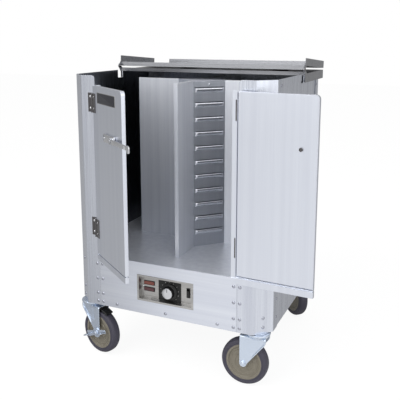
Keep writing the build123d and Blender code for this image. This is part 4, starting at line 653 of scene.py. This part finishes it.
# ---------------------------------------------------------------- left door: nameplate, latch and hinges
left_door = place(PIN_X, PIN_Y, 0) @ turn("Z", -LEFT_DOOR_ANGLE) @ place(-PIN_X, -PIN_Y, 0)
on_door = left_door @ place(0, DOOR_FACE, 0) @ OUT_FRONT
name_outline = slab(NAME_NEAR, NAME_FAR, NAME_LOW, NAME_HIGH, 2.0)
field = plate(name_outline, [(1.5, 0), (1.5, 0.8), (1.7, 0.9)])
border = plate(name_outline, [(0, 0), (0, 0.9), (0.4, 1.2), (1.3, 1.2), (1.7, 0.8), (1.7, 0)], closed=True)
piece("nameplate_field", [moved(field, on_door)], "nameplate_enamel", "left_door", "black_plastic",
      "nameplate")
piece("nameplate_border", [moved(border, on_door)], "stainless", "left_door", "black_plastic", "nameplate")

pivot = on_door @ place(PIVOT_X, LATCH_Z, 0)
base = slab(LATCH_NEAR, LATCH_FAR, LATCH_Z - LATCH_HALF_H, LATCH_Z + LATCH_HALF_H, 4.0)
collar = [(10.0, LATCH_BASE_T - 1), (10.0, LATCH_BASE_T + 2.6), (9.4, LATCH_BASE_T + 3.0)]
stem = [(3.5, LATCH_BASE_T), (3.5, 14.8), (6.5, 14.8), (6.5, 16.0), (5.2, 17.0), (2.0, 17.3)]
base_shapes = [moved(plate(base, eased(LATCH_BASE_T, 2.2)), on_door), moved(turned(collar), pivot),
               moved(turned(stem), pivot)]
base_shapes += [moved(dome(3.4, 1.6), on_door @ place(LATCH_NEAR + along, LATCH_Z, LATCH_BASE_T))
                for along in LATCH_RIVETS]
piece("latch_plate", base_shapes, "chrome", "left_door", "chrome", "latch_base")
lever = rounded([(-10, -7), (109, -7), (109, 4), (117, 4), (117, -7), (130, -7), (130, -14), (145, -14),
                 (145, 7), (-10, 7)], [6.8, 1.6, 3.9, 3.9, 1.6, 1.0, 2.0, 5.0, 6.0, 6.8])
eye = turned([(9.4, LEVER_UP), (10.0, LEVER_UP + 0.6), (10.0, LEVER_UP + 3.4), (9.4, LEVER_UP + LEVER_T)])
piece("latch_bar", [moved(plate(lever, eased(LEVER_T, 1.2, LEVER_UP)), pivot), moved(eye, pivot)],
      "chrome", "latch_lever", "chrome", "latch_lever")

for body, carry, x, seat in (("cabinet", place(0, 0, 0), PIN_X - FRAME_SCREW, -HALF_D - LEAF_T),
                             ("left_door", left_door, PIN_X + DOOR_SCREW, DOOR_FACE - LEAF_T)):
    screws = [moved(dome(3.9, 2.1), carry @ place(x, seat, low_end + HINGE_L * share) @ OUT_FRONT)
              for low_end in HINGE_Z for share in SCREW_SHARES]
    piece("hinge_screws_" + body, screws, "chrome", body, "chrome")


# ---------------------------------------------------------------- rivets
def rivets():
    """Round rivet heads: one dome set at each place, turned to look out of its sheet."""
    spots = [(side * (SEAM_X + beside), -HALF_D, SKIRT_LOW + up, -90) for side in (-1, 1)
             for up in (147, 95, 43, 14) for beside in (-RIVET_BESIDE, RIVET_BESIDE)]
    spots += [(side * HALF_W, way * (SEAM_Y + RIVET_BESIDE), z, 90 - 90 * side) for side in (-1, 1)
              for way in (-1, 1) for z in (RIM - 18, RIM - 44, SKIRT_LOW + 96, SKIRT_LOW + 36)]
    spots += [(side * (HALF_W - CORNER / 2), way * (HALF_D - CORNER / 2), SKIRT_LOW + up,
               math.degrees(math.atan2(way, side))) for side in (-1, 1) for way in (-1, 1)
              for up in (150, 50, 20)]
    spots += [(x, -HALF_D, SKIRT_LOW + 14, -90) for x in (-180, 0, 180)]
    low, high = dome(*LOW_HEAD), dome(*HIGH_HEAD)
    return [moved(low if abs(x) == HALF_W else high, place(x, y, z) @ turn("Z", angle) @ turn("Y", 90))
            for x, y, z, angle in spots]


piece("rivet_heads", rivets(), "rivet_metal", "cabinet", "aluminium", "body_rivets", keen=60)

# ---------------------------------------------------------------- room, light and camera
# Where the room is light, and how light metal sees its dark side, its light side and what is overhead;
# ROOM_LEVEL is for all other light
ROOM_LIGHT_SIDE = (0.5, -0.87, 0.0)
ROOM_DARK, ROOM_LIGHT, OVERHEAD, ROOM_LEVEL = 0.42, 0.97, 1.0, 0.55
# Floor in metres; the part of it that glows where it is seen, and how bright that glow is
FLOOR_HALF, FLOOR_GLOW, FLOOR_WHITE = 12.0, 0.85, 1.07
WHITE = (1, 1, 1, 1)
# Camera in metres and degrees, with its focal length in mm
CAMERA_PLACE = (0.8119, -1.8647, 1.0805)
CAMERA_TURN, CAMERA_DOWN = 23.784, 10.791
CAMERA_LENS, CAMERA_SHIFT = 55.290, -0.12
LAMP_TARGET, LAMP_SIZE = (0, 0, 0.5), 3.6


def room_grey(tree, way):
    """Grey of the room that metal sees in a direction: light in front, at the right and overhead."""
    across = vector_sums(tree, "DOT_PRODUCT", way, ROOM_LIGHT_SIDE)
    side = ramp(tree, across, 0.2, 0.75, ROOM_DARK, ROOM_LIGHT, interpolation_type="SMOOTHSTEP")
    height = add(tree, "ShaderNodeSeparateXYZ", {0: way}).outputs["Z"]
    above = ramp(tree, height, 0.35, 0.8, 0.0, OVERHEAD, interpolation_type="SMOOTHSTEP")
    return sums(tree, "MAXIMUM", side, above)


def room():
    """A pale floor and a soft world: white behind the cart, and shades of grey where metal looks."""
    mesh = bpy.data.meshes.new("floor")
    corners = [(x * FLOOR_HALF, y * FLOOR_HALF, 0) for x, y in ((-1, -1), (1, -1), (1, 1), (-1, 1))]
    mesh.from_pydata(corners, [], [(0, 1, 2, 3)])
    floor = bpy.data.objects.new("floor", mesh)
    bpy.context.scene.collection.objects.link(floor)
    material, tree, shader, place_in = new_material("pale_floor")
    shader.inputs["Base Color"].default_value = colour("#f6f6f6")
    shader.inputs["Roughness"].default_value = 0.9
    shader.inputs["Specular IOR Level"].default_value = 0.0
    rays = add(tree, "ShaderNodeLightPath").outputs
    seen = sums(tree, "MAXIMUM", rays["Is Camera Ray"], rays["Is Glossy Ray"])
    seen = sums(tree, "MAXIMUM", seen, rays["Is Transmission Ray"])
    way = vector_sums(tree, "NORMALIZE", place_in)
    strength = blend(tree, rays["Is Glossy Ray"], FLOOR_WHITE, room_grey(tree, way))
    glow = add(tree, "ShaderNodeEmission", {"Color": WHITE, "Strength": strength})
    share = sums(tree, "MULTIPLY", seen, FLOOR_GLOW)
    mixed = add(tree, "ShaderNodeMixShader", {0: share, 1: shader.outputs[0], 2: glow.outputs[0]})
    tree.links.new(mixed.outputs[0], tree.nodes["Material Output"].inputs["Surface"])
    mesh.materials.append(material)

    world = bpy.data.worlds.new("room")
    bpy.context.scene.world = world
    world.use_nodes = True
    tree = world.node_tree
    way = add(tree, "ShaderNodeTexCoord").outputs["Generated"]
    rays = add(tree, "ShaderNodeLightPath").outputs
    seen = blend(tree, rays["Is Glossy Ray"], ROOM_LEVEL, room_grey(tree, way))
    level = blend(tree, rays["Is Camera Ray"], seen, 1.0)
    back = tree.nodes["Background"]
    back.inputs["Color"].default_value = WHITE
    tree.links.new(level, back.inputs["Strength"])


def lamp(name, spot, watts):
    """A square soft box that faces the middle of the cart."""
    data = bpy.data.lights.new(name, "AREA")
    data.shape = "SQUARE"
    data.size = LAMP_SIZE
    data.energy = watts
    light = bpy.data.objects.new(name, data)
    bpy.context.scene.collection.objects.link(light)
    light.location = spot
    aim_x, aim_y, aim_z = np.array(LAMP_TARGET) - np.array(spot)
    tilt, heading = math.atan2(math.hypot(aim_x, aim_y), -aim_z), math.atan2(aim_y, aim_x)
    light.rotation_euler = (tilt, 0, heading - math.pi / 2)


def camera():
    """Camera at the photograph's viewing angle."""
    data = bpy.data.cameras.new("camera")
    data.sensor_width = 36
    data.lens = CAMERA_LENS
    data.shift_y = CAMERA_SHIFT
    cam = bpy.data.objects.new("camera", data)
    bpy.context.scene.collection.objects.link(cam)
    cam.location = CAMERA_PLACE
    cam.rotation_euler = (math.radians(90 - CAMERA_DOWN), 0, math.radians(CAMERA_TURN))
    bpy.context.scene.camera = cam


room()
lamp("key", (-1.6, -3.0, 3.2), 95)
lamp("fill", (2.6, -1.8, 2.2), 35)
camera()
bpy.context.scene.view_settings.view_transform = "Standard"
